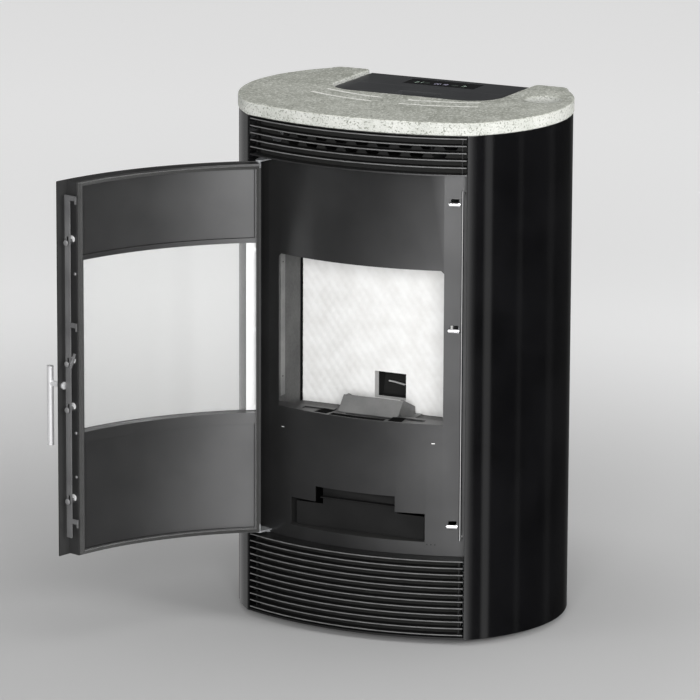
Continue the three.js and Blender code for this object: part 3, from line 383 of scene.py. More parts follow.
def mixed(tree, under, over, amount):
    """One colour laid over another by amount; a colour is a socket or three numbers."""
    mix = node(tree, "ShaderNodeMix", data_type="RGBA")
    tree.links.new(amount, mix.inputs[0])
    for k, colour in ((MIX_UNDER, under), (MIX_OVER, over)):
        if isinstance(colour, tuple):
            mix.inputs[k].default_value = (*colour, 1)
        else:
            tree.links.new(colour, mix.inputs[k])
    return mix.outputs[MIX_RESULT]


# %% World
PALE = 0.70                      # far end of the sweep
AMBIENT = 0.42                   # soft light from all round
world = bpy.data.worlds.new("studio")
world.use_nodes = True
tree = world.node_tree
tree.nodes.clear()
ray = tree.nodes.new("ShaderNodeLightPath").outputs
direction = node(tree, "ShaderNodeTexCoord").outputs["Generated"]
split = node(tree, "ShaderNodeSeparateXYZ")
tree.links.new(direction, split.inputs[0])
turn = math_node(tree, "ARCTAN2", split.outputs["Y"], split.outputs["X"])
compass = math_node(tree, "ADD", math_node(tree, "DIVIDE", turn, 2 * math.pi), 0.5)
# compass: 0.25 is the camera's side, 0.5 the viewer's right, 0.75 behind, 0 and 1 the left
seen_in_gloss = ramp(tree, compass, [
    (0.00, 0.13), (0.06, 0.035), (0.16, 0.04), (0.215, 0.19), (0.27, 0.74), (0.38, 1.00),
    (0.425, 1.00), (0.437, 0.02), (0.450, 0.015), (0.456, 0.36), (0.466, 0.36),
    (0.474, 0.012), (0.53, 0.010), (0.545, 0.06), (0.556, 0.010), (0.62, 0.010),
    (0.645, 0.035), (0.67, 0.012), (0.74, 0.015), (0.79, 0.05), (0.81, 0.025),
    (0.835, 0.02), (0.86, 0.22), (0.93, 0.17)])
room = mixed(tree, (AMBIENT,) * 3, seen_in_gloss, ray["Is Glossy Ray"])
pale = math_node(tree, "MAXIMUM", ray["Is Camera Ray"], ray["Is Transmission Ray"])
background = node(tree, "ShaderNodeBackground")
tree.links.new(mixed(tree, room, (PALE,) * 3, pale), background.inputs["Color"])
world_out = node(tree, "ShaderNodeOutputWorld")
tree.links.new(background.outputs[0], world_out.inputs["Surface"])
bpy.context.scene.world = world
bpy.context.scene.view_settings.view_transform = "Standard"
print("world ready, ambient", AMBIENT)

# %% Floor with painted light: lighter with distance, and a glow for the camera
FLOOR_Z = float(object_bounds()[0][2])
FLOOR_R, RIM_POINTS = 40.0, 96   # a round floor, in metres
FEET_GAP = 0.0005                # between the feet and the paper
SWEEP = 9.0                      # distance at which the floor's painted light is brightest
BEHIND = 0.5                     # how much more each metre behind the stove counts
floor_look = bpy.data.materials.new("pale_floor")
floor_look.use_nodes = True
tree = floor_look.node_tree
tree.nodes.clear()
length = on_object(tree, "ShaderNodeVectorMath", operation="LENGTH").outputs["Value"]
depth = on_object(tree, "ShaderNodeSeparateXYZ").outputs["Y"]
reach = math_node(tree, "ADD", length, math_node(tree, "MULTIPLY", depth, BEHIND))
away = math_node(tree, "DIVIDE", reach, SWEEP)
# Painted light: the floor's colour gets lighter with distance.
painted_light_paper = ramp(tree, away, [(0.0, 0.38), (0.06, 0.41), (0.14, 0.50), (0.50, 0.77), (1.0, 0.80)])
floor_ray = tree.nodes.new("ShaderNodeLightPath").outputs
paint = node(tree, "ShaderNodeBsdfDiffuse")
tree.links.new(painted_light_paper, paint.inputs["Color"])
# Painted light: a glow that only camera and transmission rays see, stronger with distance.
glow = node(tree, "ShaderNodeEmission", Color=(1, 1, 1, 1))
lift = ramp(tree, away, [(0.0, 0.02), (0.1, 0.035), (0.5, 0.265), (0.95, 0.33)])
seen = math_node(tree, "MAXIMUM", floor_ray["Is Camera Ray"], floor_ray["Is Transmission Ray"])
tree.links.new(math_node(tree, "MULTIPLY", lift, seen), glow.inputs["Strength"])
both = node(tree, "ShaderNodeAddShader")
tree.links.new(paint.outputs[0], both.inputs[0])
tree.links.new(glow.outputs[0], both.inputs[1])
floor_out = node(tree, "ShaderNodeOutputMaterial")
tree.links.new(both.outputs[0], floor_out.inputs["Surface"])

rim = np.column_stack([disc(FLOOR_R, RIM_POINTS), np.full(RIM_POINTS, FLOOR_Z - FEET_GAP)])
floor_mesh = bpy.data.meshes.new("floor")
floor_mesh.from_pydata(rim.tolist(), [], [list(range(RIM_POINTS))])
floor_mesh.materials.append(floor_look)
floor = bpy.data.objects.new("floor", floor_mesh)
bpy.context.scene.collection.objects.link(floor)
floor.visible_glossy = False
print("floor at z %.4f" % FLOOR_Z)


# %% Lamps: a broad one almost in line with the camera, weaker ones left, right and above
def lamp(name, at, aim, wide, tall, power, mirrored=True):
    """An area lamp whose face looks at aim; gloss shows it only if it is mirrored."""
    data = bpy.data.lights.new(name, "AREA")
    data.shape = "RECTANGLE"
    data.size, data.size_y = wide, tall
    data.energy = power
    obj = bpy.data.objects.new(name, data)
    obj.location = at
    way = np.array(aim, float) - np.array(at, float)
    level = math.hypot(way[0], way[1])
    obj.rotation_euler = (math.atan2(level, -way[2]), 0.0, math.atan2(-way[0], way[1]))
    obj.visible_glossy = mirrored
    bpy.context.scene.collection.objects.link(obj)


lamp("key", (3.4, -7.6, 2.4), (0.0, -0.1, 0.6), 3.8, 2.8, 600)
lamp("fill", (-4.2, -4.6, 1.6), (0.0, -0.1, 0.6), 2.6, 2.6, 95, mirrored=False)
lamp("side", (4.6, -0.6, 1.9), (0.2, 0.0, 0.9), 1.6, 1.6, 150, mirrored=False)
lamp("top", (0.4, -0.6, 4.2), (0.0, 0.0, 0.8), 2.4, 2.4, 30)

# %% [markdown]
# Finishes
# --------
# Each finish starts from one shader whose plain values (metal, coat, glass) are set on the
# shader itself. What varies over the surface, such as colour, roughness and relief, comes
# from noise read in object coordinates. The object's coordinates are in metres, so a noise
# scale of 1000 gives grains of about a millimetre.


# %% Start a finish, and read noise in object coordinates
def start_finish(name, **values):
    """A new material with one Principled shader; its constants are set on its sockets."""
    look = bpy.data.materials.new(name)
    look.use_nodes = True
    tree = look.node_tree
    tree.nodes.clear()
    out = tree.nodes.new("ShaderNodeOutputMaterial")
    shader = node(tree, "ShaderNodeBsdfPrincipled", **values)
    tree.links.new(shader.outputs[0], out.inputs["Surface"])
    return look, tree, shader


def noise(tree, scale, detail=3.0, stretch=(1, 1, 1), rough=0.55):
    """Noise between about 0.3 and 0.7; stretch above 1 packs it closer on that axis."""
    mapping = on_object(tree, "ShaderNodeMapping", Scale=stretch)
    n = node(tree, "ShaderNodeTexNoise", Scale=scale, Detail=detail, Roughness=rough)
    tree.links.new(mapping.outputs[0], n.inputs["Vector"])
    return n.outputs["Fac"]


def spread(tree, fac, low, high, start=0.3, end=0.7):
    """Move a value from start..end onto low..high, without going past either."""
    n = node(tree, "ShaderNodeMapRange", From_Min=start, From_Max=end, To_Min=low,
             To_Max=high)
    tree.links.new(fac, n.inputs["Value"])
    return n.outputs[0]


def relief(tree, shader, height, depth, strength):
    """Light the surface as if it stood up by height * depth metres."""
    n = node(tree, "ShaderNodeBump", Strength=strength, Distance=depth)
    tree.links.new(height, n.inputs["Height"])
    tree.links.new(n.outputs[0], shader.inputs["Normal"])


def colour_range(tree, shader, fac, dark, light, start=0.3, end=0.7):
    """Colour the surface from dark to light as fac goes from start to end."""
    tree.links.new(ramp(tree, fac, [(start, dark), (end, light)]),
                   shader.inputs["Base Color"])


def gloss_range(tree, shader, fac, low, high):
    """Roughness from low to high over the noise's own range."""
    tree.links.new(spread(tree, fac, low, high), shader.inputs["Roughness"])


print("finish helpers ready")


# %% [markdown]
# Paints. The casing has a deep gloss enamel with a trace of orange peel; the door's inside
# and the front plate have a satin grey heat paint; the grilles are matt black. All three
# are sprayed, so each has a fine grain and a slow change of gloss over the sheet.

# %% Paints
def paint_finish(name, dark, light, gloss, grain, depth, metallic=0.0, coat=0.0):
    """A sprayed paint: colour between dark and light, roughness between two values.

    The roughness follows the mean of the fine grain and of slow clouds about 1/6 m wide.
    """
    look, tree, shader = start_finish(name, Metallic=metallic, Coat_Weight=coat,
                                      Coat_Roughness=0.035)
    cloud = noise(tree, 6.0, 4.0)
    colour_range(tree, shader, cloud, dark, light)
    fine = noise(tree, grain, 2.0)
    mean = math_node(tree, "MULTIPLY", math_node(tree, "ADD", fine, cloud), 0.5)
    gloss_range(tree, shader, mean, *gloss)
    relief(tree, shader, fine, depth, 0.5)
    return look


enamel = paint_finish("gloss_black_enamel", (0.0022, 0.0022, 0.0025),
                      (0.0045, 0.0045, 0.005), (0.05, 0.11), 260.0, 0.00002, coat=1.0)
grey_paint = paint_finish("satin_grey_paint", (0.078, 0.078, 0.079),
                          (0.093, 0.093, 0.094), (0.34, 0.44), 1800.0, 0.00004,
                          metallic=0.85)
door_paint = paint_finish("satin_door_paint", (0.104, 0.104, 0.105),
                          (0.122, 0.122, 0.123), (0.36, 0.46), 1800.0, 0.00004,
                          metallic=0.85)
channel_paint = paint_finish("satin_channel_paint", 0.026, 0.034, (0.42, 0.54), 1700.0,
                             0.00004, metallic=0.2)
# A sooty black for the fire's inner parts. The same finish is painted shade where it stands for
# the dark inside small holes and behind the lower grille.
soot_and_painted_shade = paint_finish("soot_and_painted_shade_black", 0.003, (0.007, 0.007, 0.006), (0.80, 0.95), 900.0,
                    0.00010)
deck_paint = paint_finish("satin_charcoal_paint", (0.056, 0.058, 0.061),
                          (0.070, 0.072, 0.075), (0.40, 0.50), 1500.0, 0.00005,
                          metallic=0.2)
black_paint = paint_finish("matt_black_paint", 0.010, 0.016, (0.50, 0.62), 1700.0,
                           0.00005, metallic=0.5)
print("paints:", [m.name for m in (enamel, grey_paint, door_paint, deck_paint, soot_and_painted_shade)])

# %% Grilles: black paint, with a painted highlight along the front edges
grille_paint, tree, shader = start_finish("grille_black_with_painted_edge_highlight",
                                          Specular_IOR_Level=0.3)
axes = on_object(tree, "ShaderNodeSeparateXYZ").outputs
from_centre = math_node(tree, "SUBTRACT", axes["Y"], BOW_CY)
radius = math_node(tree, "SQRT", math_node(
    tree, "ADD", math_node(tree, "POWER", axes["X"], 2.0),
    math_node(tree, "POWER", from_centre, 2.0)))
HIGHLIGHT_FROM, HIGHLIGHT_FULL = BOW_R - 0.0022, BOW_R - 0.0014    # radii of the painted highlight on the front edges
# Painted highlight: the slats' front edges are lighter than the rest, a little unevenly.
front_edge = spread(tree, radius, 0.0, 1.0, HIGHLIGHT_FROM, HIGHLIGHT_FULL)
painted_highlight = math_node(tree, "MULTIPLY", front_edge, spread(tree, noise(tree, 30.0), 0.75, 1.0))
colour_range(tree, shader, painted_highlight, 0.006, 0.13, 0.0, 1.0)
gloss_range(tree, shader, noise(tree, 1500.0, 2.0), 0.46, 0.62)
print("grille paint ready")


# %% [markdown]
# Bare and plated metal. Zinc-plated sheet shows faint rolling lines, and chrome a few
# polishing scratches. Castings are grey with a coarse sand skin.

# %% Metals
def metal_finish(name, dark, light, gloss, stretch, scale, depth, metallic=1.0):
    """A metal with fine lines along one axis, which change its gloss more than its colour."""
    look, tree, shader = start_finish(name, Metallic=metallic)
    lines = noise(tree, scale, 3.0, stretch)
    colour_range(tree, shader, noise(tree, 14.0, 4.0), dark, light)
    gloss_range(tree, shader, lines, *gloss)
    relief(tree, shader, lines, depth, 0.4)
    return look


zinc = metal_finish("zinc_plated_sheet", (0.36, 0.37, 0.38), (0.50, 0.51, 0.52),
                    (0.30, 0.48), (1, 1, 14), 90.0, 0.00003, metallic=0.45)
bar_metal = metal_finish("dull_plated_bar", (0.11, 0.11, 0.112), (0.15, 0.15, 0.152),
                         (0.34, 0.50), (8, 8, 1), 160.0, 0.00004, metallic=0.25)
chrome = metal_finish("bright_chrome", (0.78, 0.78, 0.79), (0.86, 0.86, 0.87),
                      (0.06, 0.14), (6, 6, 1), 300.0, 0.00001)
pot_steel = metal_finish("fire_steel", 0.19, (0.26, 0.26, 0.255), (0.48, 0.62), (1, 1, 1),
                         220.0, 0.00010, metallic=0.5)
handle_metal = metal_finish("brushed_handle", (0.80, 0.80, 0.81), (0.88, 0.88, 0.89),
                            (0.26, 0.38), (6, 6, 1), 320.0, 0.00001, metallic=0.55)
bright_strip = metal_finish("bright_strip", 0.86, 0.92, (0.30, 0.36), (1, 1, 1), 60.0,
                            0.000002, metallic=0.4)
dull_zinc = metal_finish("dull_zinc", (0.24, 0.24, 0.245), (0.34, 0.34, 0.345),
                         (0.40, 0.55), (1, 1, 1), 240.0, 0.00004, metallic=0.6)
wall_steel = metal_finish("heat_greyed_steel", 0.085, (0.12, 0.12, 0.118), (0.50, 0.66),
                          (1, 1, 1), 160.0, 0.00008, metallic=0.5)
sand_cast = metal_finish("sand_cast_grey", 0.10, (0.16, 0.158, 0.155), (0.55, 0.75),
                         (1, 1, 1), 420.0, 0.00025, metallic=0.7)
print("metals ready")

# %% [markdown]
# Soapstone. The slab's top is honed, so its grey-green shows with small pale flecks. Every
# face that is cut below the top, such as the edge, the grooves and the dish, is left rough
# and looks much paler, with dark specks. The finish tells the two apart by height: the top
# face is the slab's highest plane. Two noises at different scales give the flecks and the
# specks, and a third gives the slow clouds.

# %% Soapstone
STONE_TOP = float(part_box("stone_top")[1][2])
HONED_FROM, HONED_FULL = STONE_TOP - 0.0022, STONE_TOP - 0.0008

soapstone, tree, shader = start_finish("grey_green_soapstone", Specular_IOR_Level=0.3)
axes = on_object(tree, "ShaderNodeSeparateXYZ").outputs
honed = spread(tree, axes["Z"], 0.0, 1.0, HONED_FROM, HONED_FULL)
flecks = spread(tree, noise(tree, 215.0, 3.0, (1.0, 0.6, 1.0), 0.65), 0.0, 1.0, 0.50, 0.58)
specks = spread(tree, noise(tree, 270.0, 3.0, (0.8, 1.0, 1.0), 0.65), 0.0, 1.0, 0.55, 0.62)
clouds = noise(tree, 16.0, 5.0)
ground = ramp(tree, clouds, [(0.32, (0.34, 0.35, 0.305)), (0.68, (0.46, 0.47, 0.42))])
top_colour = mixed(tree, ground, (0.80, 0.81, 0.76), math_node(tree, "MULTIPLY", flecks, 0.52))
cut_colour = ramp(tree, clouds, [(0.32, (0.46, 0.47, 0.435)), (0.68, (0.55, 0.555, 0.525))])
stone_colour = mixed(tree, mixed(tree, cut_colour, top_colour, honed), (0.16, 0.17, 0.14),
                     math_node(tree, "MULTIPLY", specks, 0.80))
tree.links.new(stone_colour, shader.inputs["Base Color"])
tree.links.new(spread(tree, honed, 0.85, 0.5, 0.0, 1.0), shader.inputs["Roughness"])
rough_cut = math_node(tree, "SUBTRACT", 1.2, honed)
relief(tree, shader, math_node(tree, "MULTIPLY", flecks, rough_cut), 0.0009, 0.6)
print("soapstone honed above z %.4f" % HONED_FROM)

# %% [markdown]
# Fire board. The back of the firebox is a white pressed board with a quilted diamond
# relief that throws the heat forward. The relief is real geometry further down; the finish
# adds the board's chalky grain and a faint warm mottling. Mouldings share one recipe.

# %% Fire board and mouldings
fire_board, tree, shader = start_finish("white_fire_board", Specular_IOR_Level=0.2)
colour_range(tree, shader, noise(tree, 24.0, 5.0), (0.80, 0.795, 0.78), (0.88, 0.88, 0.87))
gloss_range(tree, shader, noise(tree, 700.0, 2.0), 0.75, 0.95)
relief(tree, shader, noise(tree, 900.0, 3.0), 0.0003, 0.5)


def moulded(name, dark, light, gloss, grain=1400.0, depth=0.00006):
    """A moulded or powdery stuff: two close colours, a gloss range and a fine grain."""
    look, tree, shader = start_finish(name)
    colour_range(tree, shader, noise(tree, 40.0, 4.0), dark, light)
    fine = noise(tree, grain, 2.0)
    gloss_range(tree, shader, fine, *gloss)
    relief(tree, shader, fine, depth, 0.6)
    return look


black_plastic = moulded("black_moulding", (0.016, 0.016, 0.018), (0.026, 0.026, 0.028),
                        (0.40, 0.55))
board_green = moulded("circuit_board", (0.010, 0.090, 0.035), (0.018, 0.125, 0.050),
                      (0.35, 0.50), 900.0)
igniter_clay = moulded("igniter_ceramic", (0.50, 0.47, 0.43), (0.60, 0.57, 0.53),
                       (0.60, 0.80))
print("board and mouldings ready")

# %% Woven rope seal: a slanted weave read along its length
WEAVE = 0.0022                   # metres from one strand to the next
rope, tree, shader = start_finish("glass_fibre_rope", Specular_IOR_Level=0.1,
                                  Sheen_Weight=0.3)
axes = on_object(tree, "ShaderNodeSeparateXYZ").outputs
slant = math_node(tree, "ADD", axes["Z"], math_node(tree, "ADD", axes["X"], axes["Y"]))
weave = math_node(tree, "ABSOLUTE", math_node(
    tree, "SINE", math_node(tree, "MULTIPLY", slant, math.pi / WEAVE)))
# The colour is darker in the valleys between strands: painted shade.
colour_range(tree, shader, weave, 0.012, (0.042, 0.042, 0.041), 0.1, 0.9)
gloss_range(tree, shader, noise(tree, 900.0), 0.8, 0.98)
relief(tree, shader, weave, 0.0006, 0.8)
print("rope ready")

# %% [markdown]
# Glass. The window is a clear ceramic pane, so its colour stays near white and light goes
# through it. The display is black glass: a dark shader with a glossy face.

# %% Glass
clear_glass, tree, shader = start_finish(
    "ceramic_glass", Base_Color=(0.95, 0.955, 0.95, 1), Transmission_Weight=0.93, IOR=1.5)
gloss_range(tree, shader, noise(tree, 9.0), 0.0, 0.02)
black_glass, tree, shader = start_finish("black_display_glass", Coat_Weight=1.0,
                                         Coat_Roughness=0.02)
colour_range(tree, shader, noise(tree, 60.0, 2.0), (0.004, 0.004, 0.005), (0.008, 0.008, 0.010))
gloss_range(tree, shader, noise(tree, 30.0, 2.0), 0.04, 0.09)
print("glass ready")

# %% [markdown]
# Surfaces for the CAD solids
# ---------------------------
# Each CAD solid first gets the finish of its own material slot. The ones that show are then
# replaced by a merged copy with the same shape and place: its flat triangles are joined
# into whole faces, faces that meet at a small angle shade as one curve, and a narrow
# rounded edge catches the light as a real sheet's edge does.

# %% A finish for every CAD node
LOOK_OF_SLOT = {
    "gloss_black": enamel, "door_grey": grey_paint, "deck_grey": deck_paint,
    "black_steel": black_paint, "zinc": zinc, "bright_metal": chrome,
    "cast_iron": sand_cast, "stone": soapstone, "lining": fire_board,
    "glass": clear_glass, "display": black_glass, "igniter": igniter_clay,
    "rope": rope, "plastic": black_plastic, "board": board_green}
SLOT_OF = {s["node"]: s["material_slot"] for s in frame["record"]["subparts"]}
LOOK_OF = {name: LOOK_OF_SLOT[slot] for name, slot in SLOT_OF.items()}
LOOK_OF.update(
    lock_bar=bar_metal, burn_pot=pot_steel, firebox_shell=wall_steel, door_handle=handle_metal,
    glass_retainer=bright_strip, lower_grille=grille_paint, upper_grille=grille_paint,
    pellet_chute=soot_and_painted_shade, air_outlet_plate=soot_and_painted_shade, ash_chamber=soot_and_painted_shade, air_duct=soot_and_painted_shade,
    heat_exchanger=soot_and_painted_shade, door_frame=door_paint, door_panel_upper=door_paint,
    door_panel_lower=door_paint)
for name, cad in frame["nodes"].items():
    cad.data.materials.clear()
    cad.data.materials.append(LOOK_OF[name])
print(len(LOOK_OF), "nodes have a finish")


# %% A rounded copy of a CAD node
SAME_POINT = 2e-5                # points closer than this are merged, metres
SAME_PLANE = math.radians(0.4)   # triangles that meet at less than this are joined
SHARP = 30                       # edges that turn by more than this are rounded, degrees


def refined(name, edge):
    """A merged copy of a CAD node with rounded edges `edge` metres wide, in its place."""
    cad = frame["nodes"][name]
    bm = bmesh.new()
    bm.from_mesh(cad.data)
    bmesh.ops.remove_doubles(bm, verts=bm.verts, dist=SAME_POINT)
    bmesh.ops.dissolve_limit(bm, angle_limit=SAME_PLANE, verts=bm.verts, edges=bm.edges)
    mesh = bpy.data.meshes.new(name + "_finished")
    bm.to_mesh(mesh)
    bm.free()
    mesh.materials.append(LOOK_OF[name])
    smooth(mesh, SHARP)
    obj = bpy.data.objects.new(name + "_finished", mesh)
    bpy.context.scene.collection.objects.link(obj)
    bevel = obj.modifiers.new("rounded edges", "BEVEL")
    bevel.width, bevel.segments = edge, 2
    bevel.limit_method, bevel.angle_limit = "ANGLE", math.radians(SHARP)
    bevel.harden_normals = True
    bevel.use_clamp_overlap = True
    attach(obj, cad["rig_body"])
    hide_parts(name)


ROUNDED = {
    0.0012: ["stone_top"],
    0.0010: ["burn_pot"],
    0.0008: ["side_panel_left", "side_panel_right", "hopper_lid", "control_console",
             *(f"levelling_foot_{k}" for k in (1, 2, 3, 4)), "door_handle"],
    0.0006: ["door_skin", "door_frame", "front_plate", "hearth_ledge", "ash_drawer",
             "catch_1", "catch_2", "catch_3", "firebox_shell", "display_glass",
             "flue_spigot", "air_intake_pipe", "power_inlet"],
    0.0004: ["lower_grille", "upper_grille", "air_outlet_plate", "sill_plate",
             "door_panel_upper", "door_panel_lower", "glass_retainer", "lock_bar",
             "hinge_upper", "hinge_lower", "base_plate", "back_panel", "strike_rod",
             "door_glass", "chassis_post_left", "chassis_post_right"],
    0.0015: ["door_seal"],
}
for edge, names in ROUNDED.items():
    for name in names:
        refined(name, edge)
print(sum(len(v) for v in ROUNDED.values()), "nodes are shown by rounded copies")

# %% [markdown]
# The door's skin is enamelled outside only. Its inner face, which shows where the skin
# stands out past the door's box, has the dull paint of the latch channel. A face belongs to
# the inside when it looks towards the middle of the opened door's bow. The cut edges round
# the drawer's mouth get the black finish, so they come out darker than the plate: they are
# the faces of the plate, near the mouth, that look across the bow and not along its radius.


# %% A second finish for some faces
def paint_where(name, look, middle, choose):
    """Give the faces that choose(towards, centre) picks a second finish.

    towards is the normal's part along the level line from the face's centre to middle:
    1 when the face looks straight at it, 0 when it looks across.
    """
    mesh = bpy.data.objects[name].data
    mesh.materials.append(look)
    n = len(mesh.polygons)
    centre, normal = np.empty(n * 3), np.empty(n * 3)
    mesh.polygons.foreach_get("center", centre)
    mesh.polygons.foreach_get("normal", normal)
    centre, normal = centre.reshape(-1, 3), normal.reshape(-1, 3)
    inward = middle[:2] - centre[:, :2]
    inward /= np.linalg.norm(inward, axis=1, keepdims=True)
    chosen = choose((inward * normal[:, :2]).sum(1), centre)
    mesh.polygons.foreach_set("material_index", chosen.astype(np.int32))
    print(name, "faces with a second finish:", int(chosen.sum()))


# %% Dull paint inside the skin, black round the drawer's mouth
FACING = 0.5                     # half way between looking across and straight at
MOUTH_Z, MOUTH_REACH = (0.190, 0.296), 0.160     # heights, and how far out from the middle


def near_mouth(centre):
    """Whether each face's centre lies within the drawer's mouth or on its edge."""
    return ((centre[:, 2] > MOUTH_Z[0]) & (centre[:, 2] < MOUTH_Z[1])
            & (np.abs(centre[:, 0]) < MOUTH_REACH))


paint_where("door_skin_finished", channel_paint, opened([BOW_MIDDLE])[0],
            lambda towards, centre: towards > FACING)
paint_where("front_plate_finished", soot_and_painted_shade, BOW_MIDDLE,
            lambda towards, centre: (np.abs(towards) < FACING) & near_mouth(centre))

# %% [markdown]
# The fire board
# --------------
# The board behind the fire is pressed in a quilted pattern: shallow grooves cross in
# diamonds, and each diamond is a low pillow. That is one smooth function of x and z, so the
# board is a grid of points whose depth follows the function. The grid has lines on the
# edges of the pellet hole, and the cells inside the hole are left out.

# %% Quilted board with its pellet hole
BOARD_LOW, BOARD_HIGH = (np.array(c, float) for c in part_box("firebox_lining"))
HOLE_X, HOLE_Z = (-0.0365, 0.0365), (0.452, 0.509)
QUILT_W, QUILT_H, QUILT_DEEP = 0.020, 0.028, 0.0016
BOARD_STEP = 0.0029              # about this far between grid lines


def quilt(x, z):
    """Groove depth: QUILT_DEEP * (1 - |sin u sin v| ** 0.35), u and v on the diagonals."""
    u, v = x / QUILT_W + z / QUILT_H, x / QUILT_W - z / QUILT_H
    pillow = np.abs(np.sin(np.pi * u) * np.sin(np.pi * v))
    return QUILT_DEEP * (1 - pillow ** 0.35)


def grid_lines(low, high, hole):
    """Grid lines from low to high, BOARD_STEP apart, with two on the hole's edges."""
    ends = [low, *hole, high]
    runs = [np.linspace(a, b, int(round((b - a) / BOARD_STEP)) + 1)[:-1]
            for a, b in zip(ends, ends[1:])]
    return np.concatenate([*runs, [high]])


board_x = grid_lines(BOARD_LOW[0], BOARD_HIGH[0], HOLE_X)
board_z = grid_lines(BOARD_LOW[2], BOARD_HIGH[2], HOLE_Z)
gx, gz = np.meshgrid(board_x, board_z)
front = np.stack([gx, BOARD_LOW[1] + quilt(gx, gz), gz], -1).reshape(-1, 3)
back = np.stack([gx, np.full(gx.shape, BOARD_HIGH[1]), gz], -1).reshape(-1, 3)
cells = np.array(grid_faces(len(board_z), len(board_x), close_cols=False))
mid = front[cells].mean(1)
in_hole = ((mid[:, 0] > HOLE_X[0]) & (mid[:, 0] < HOLE_X[1])
           & (mid[:, 2] > HOLE_Z[0]) & (mid[:, 2] < HOLE_Z[1]))
piece("fire_board_quilted", *slab(front, back, cells[~in_hole].tolist()), fire_board, "root",
      "lining", 60, ["firebox_lining"])
print("board grid", gx.shape, "cells cut for the hole:", int(in_hole.sum()))

# %% [markdown]
# The stone's grooves are cut rough, and pale stone dust fills them almost to the top. Four
# narrow bands on arcs about the bow's centre stand for it.

# %% Pale dust in the grooves
stone_dust = moulded("stone_dust", (0.72, 0.72, 0.68), (0.84, 0.84, 0.80), (0.80, 0.95),
                     700.0, 0.0003)
GROOVES = ((0.224, 0.031, 0.176), (0.178, 0.031, 0.192))     # depth, from x, to x
GROOVE_HALF, END_GAP = 0.0033, 0.0005            # half width of a groove, room at its ends
DUST_LOW, DUST_TOP = STONE_TOP - 0.0086, STONE_TOP - 0.0004
fillings = []
for groove, x_in, x_out in GROOVES:
    per = BOW_R / (BOW_R - groove)               # skin position of a place in the groove
    for left, right in ((x_in, x_out), (-x_out, -x_in)):
        fillings.append(band(left * per + END_GAP, right * per - END_GAP, groove - GROOVE_HALF,
                             groove + GROOVE_HALF, DUST_LOW, DUST_TOP, 16))
piece("groove_dust", *merged(fillings), stone_dust, "root", "stone")
print(len(fillings), "grooves")

# %% [markdown]
# Small things in and around the fire: the thin lip that the pellets slide over inside the
# hole, the narrow rail on the left wall with its two holes, and the two small tabs and
# three pinholes in the front plate. Each is a bent strip that lies on its sheet. The holes
# are not cut: black rings and strips stand for their dark insides, which is painted shade.

# %% Details of the fire mouth and the front plate
SKIN_PER_PLATE = BOW_R / (BOW_R - PLATE_D)       # skin position of a place on the plate
LIP_FROM, LIP_TO, LIP_Y, LIP_Z = -0.010, 0.029, -0.0275, 0.4875
LIP_BULGE, LIP_FALL = 0.003, 0.10                # bow of the lip, and how steeply it falls


def flat_section(half_wide, half_thick):
    """The four corners of a flat bar's section."""
    return [[-half_wide, -half_thick], [half_wide, -half_thick], [half_wide, half_thick],
            [-half_wide, half_thick]]


lip_x = np.linspace(LIP_FROM, LIP_TO, 9)
lip_path = np.stack([lip_x, LIP_Y + LIP_BULGE * np.cos(lip_x / (LIP_TO - LIP_FROM) * np.pi),
                     LIP_Z - LIP_FALL * (lip_x - LIP_FROM)], -1)
piece("pellet_lip", *sweep(lip_path, flat_section(0.003, 0.0007)), bright_strip, "root", "zinc")

RAIL_X, RAIL_Y, RAIL_Z = (-0.2057, -0.2030), (-0.148, -0.128), (0.459, 0.772)
PINHOLE = [[0.0004, 0.0], [0.0017, 0.0], [0.0017, 0.0003], [0.0004, 0.0003]]
# Black rings stand for the rail's two holes: painted shade.
rail_holes = [turned(PINHOLE, (RAIL_X[1], sum(RAIL_Y) / 2, z), (1, 0, 0), 12)
              for z in (0.500, 0.745)]
piece("wall_rail", *block(*RAIL_X, *RAIL_Y, *RAIL_Z), pot_steel, "root", "zinc")
piece("wall_rail_holes", *merged(rail_holes), soot_and_painted_shade, "root", "black_steel")


def on_plate(x, z, half, tall, proud=0.0006):
    """A small strip on the front plate at its own x, `proud` in front of the sheet."""
    at, wide = x * SKIN_PER_PLATE, half * SKIN_PER_PLATE
    return band(at - wide, at + wide, PLATE_D - proud, PLATE_D - 0.0001, z - tall, z + tall)


tabs = [on_plate(-0.178, 0.404, 0.0032, 0.0009), on_plate(0.171, 0.408, 0.0034, 0.0009)]
piece("plate_tabs", *merged(tabs), bright_strip, "root", "zinc")
# Black strips stand for the three pinholes: painted shade.
pinholes = [on_plate(x, 0.192, 0.0010, 0.0012, 0.0003) for x in (0.160, 0.168, 0.176)]
piece("plate_pinholes", *merged(pinholes), soot_and_painted_shade, "root", "black_steel")
print("fire mouth details ready")

# %% [markdown]
# Thin black patches on the hearth ledge, in front of the pot's flap and at each side of it,
# stand for the dark of the ledge's slots. A thin black strip in the corner where the left
# wall meets the fire board stands for the shade there. All of it is painted shade. Each
# patch is a thin slab. Its finish has almost no specular reflection, so it stays dark even
# seen at a low angle.

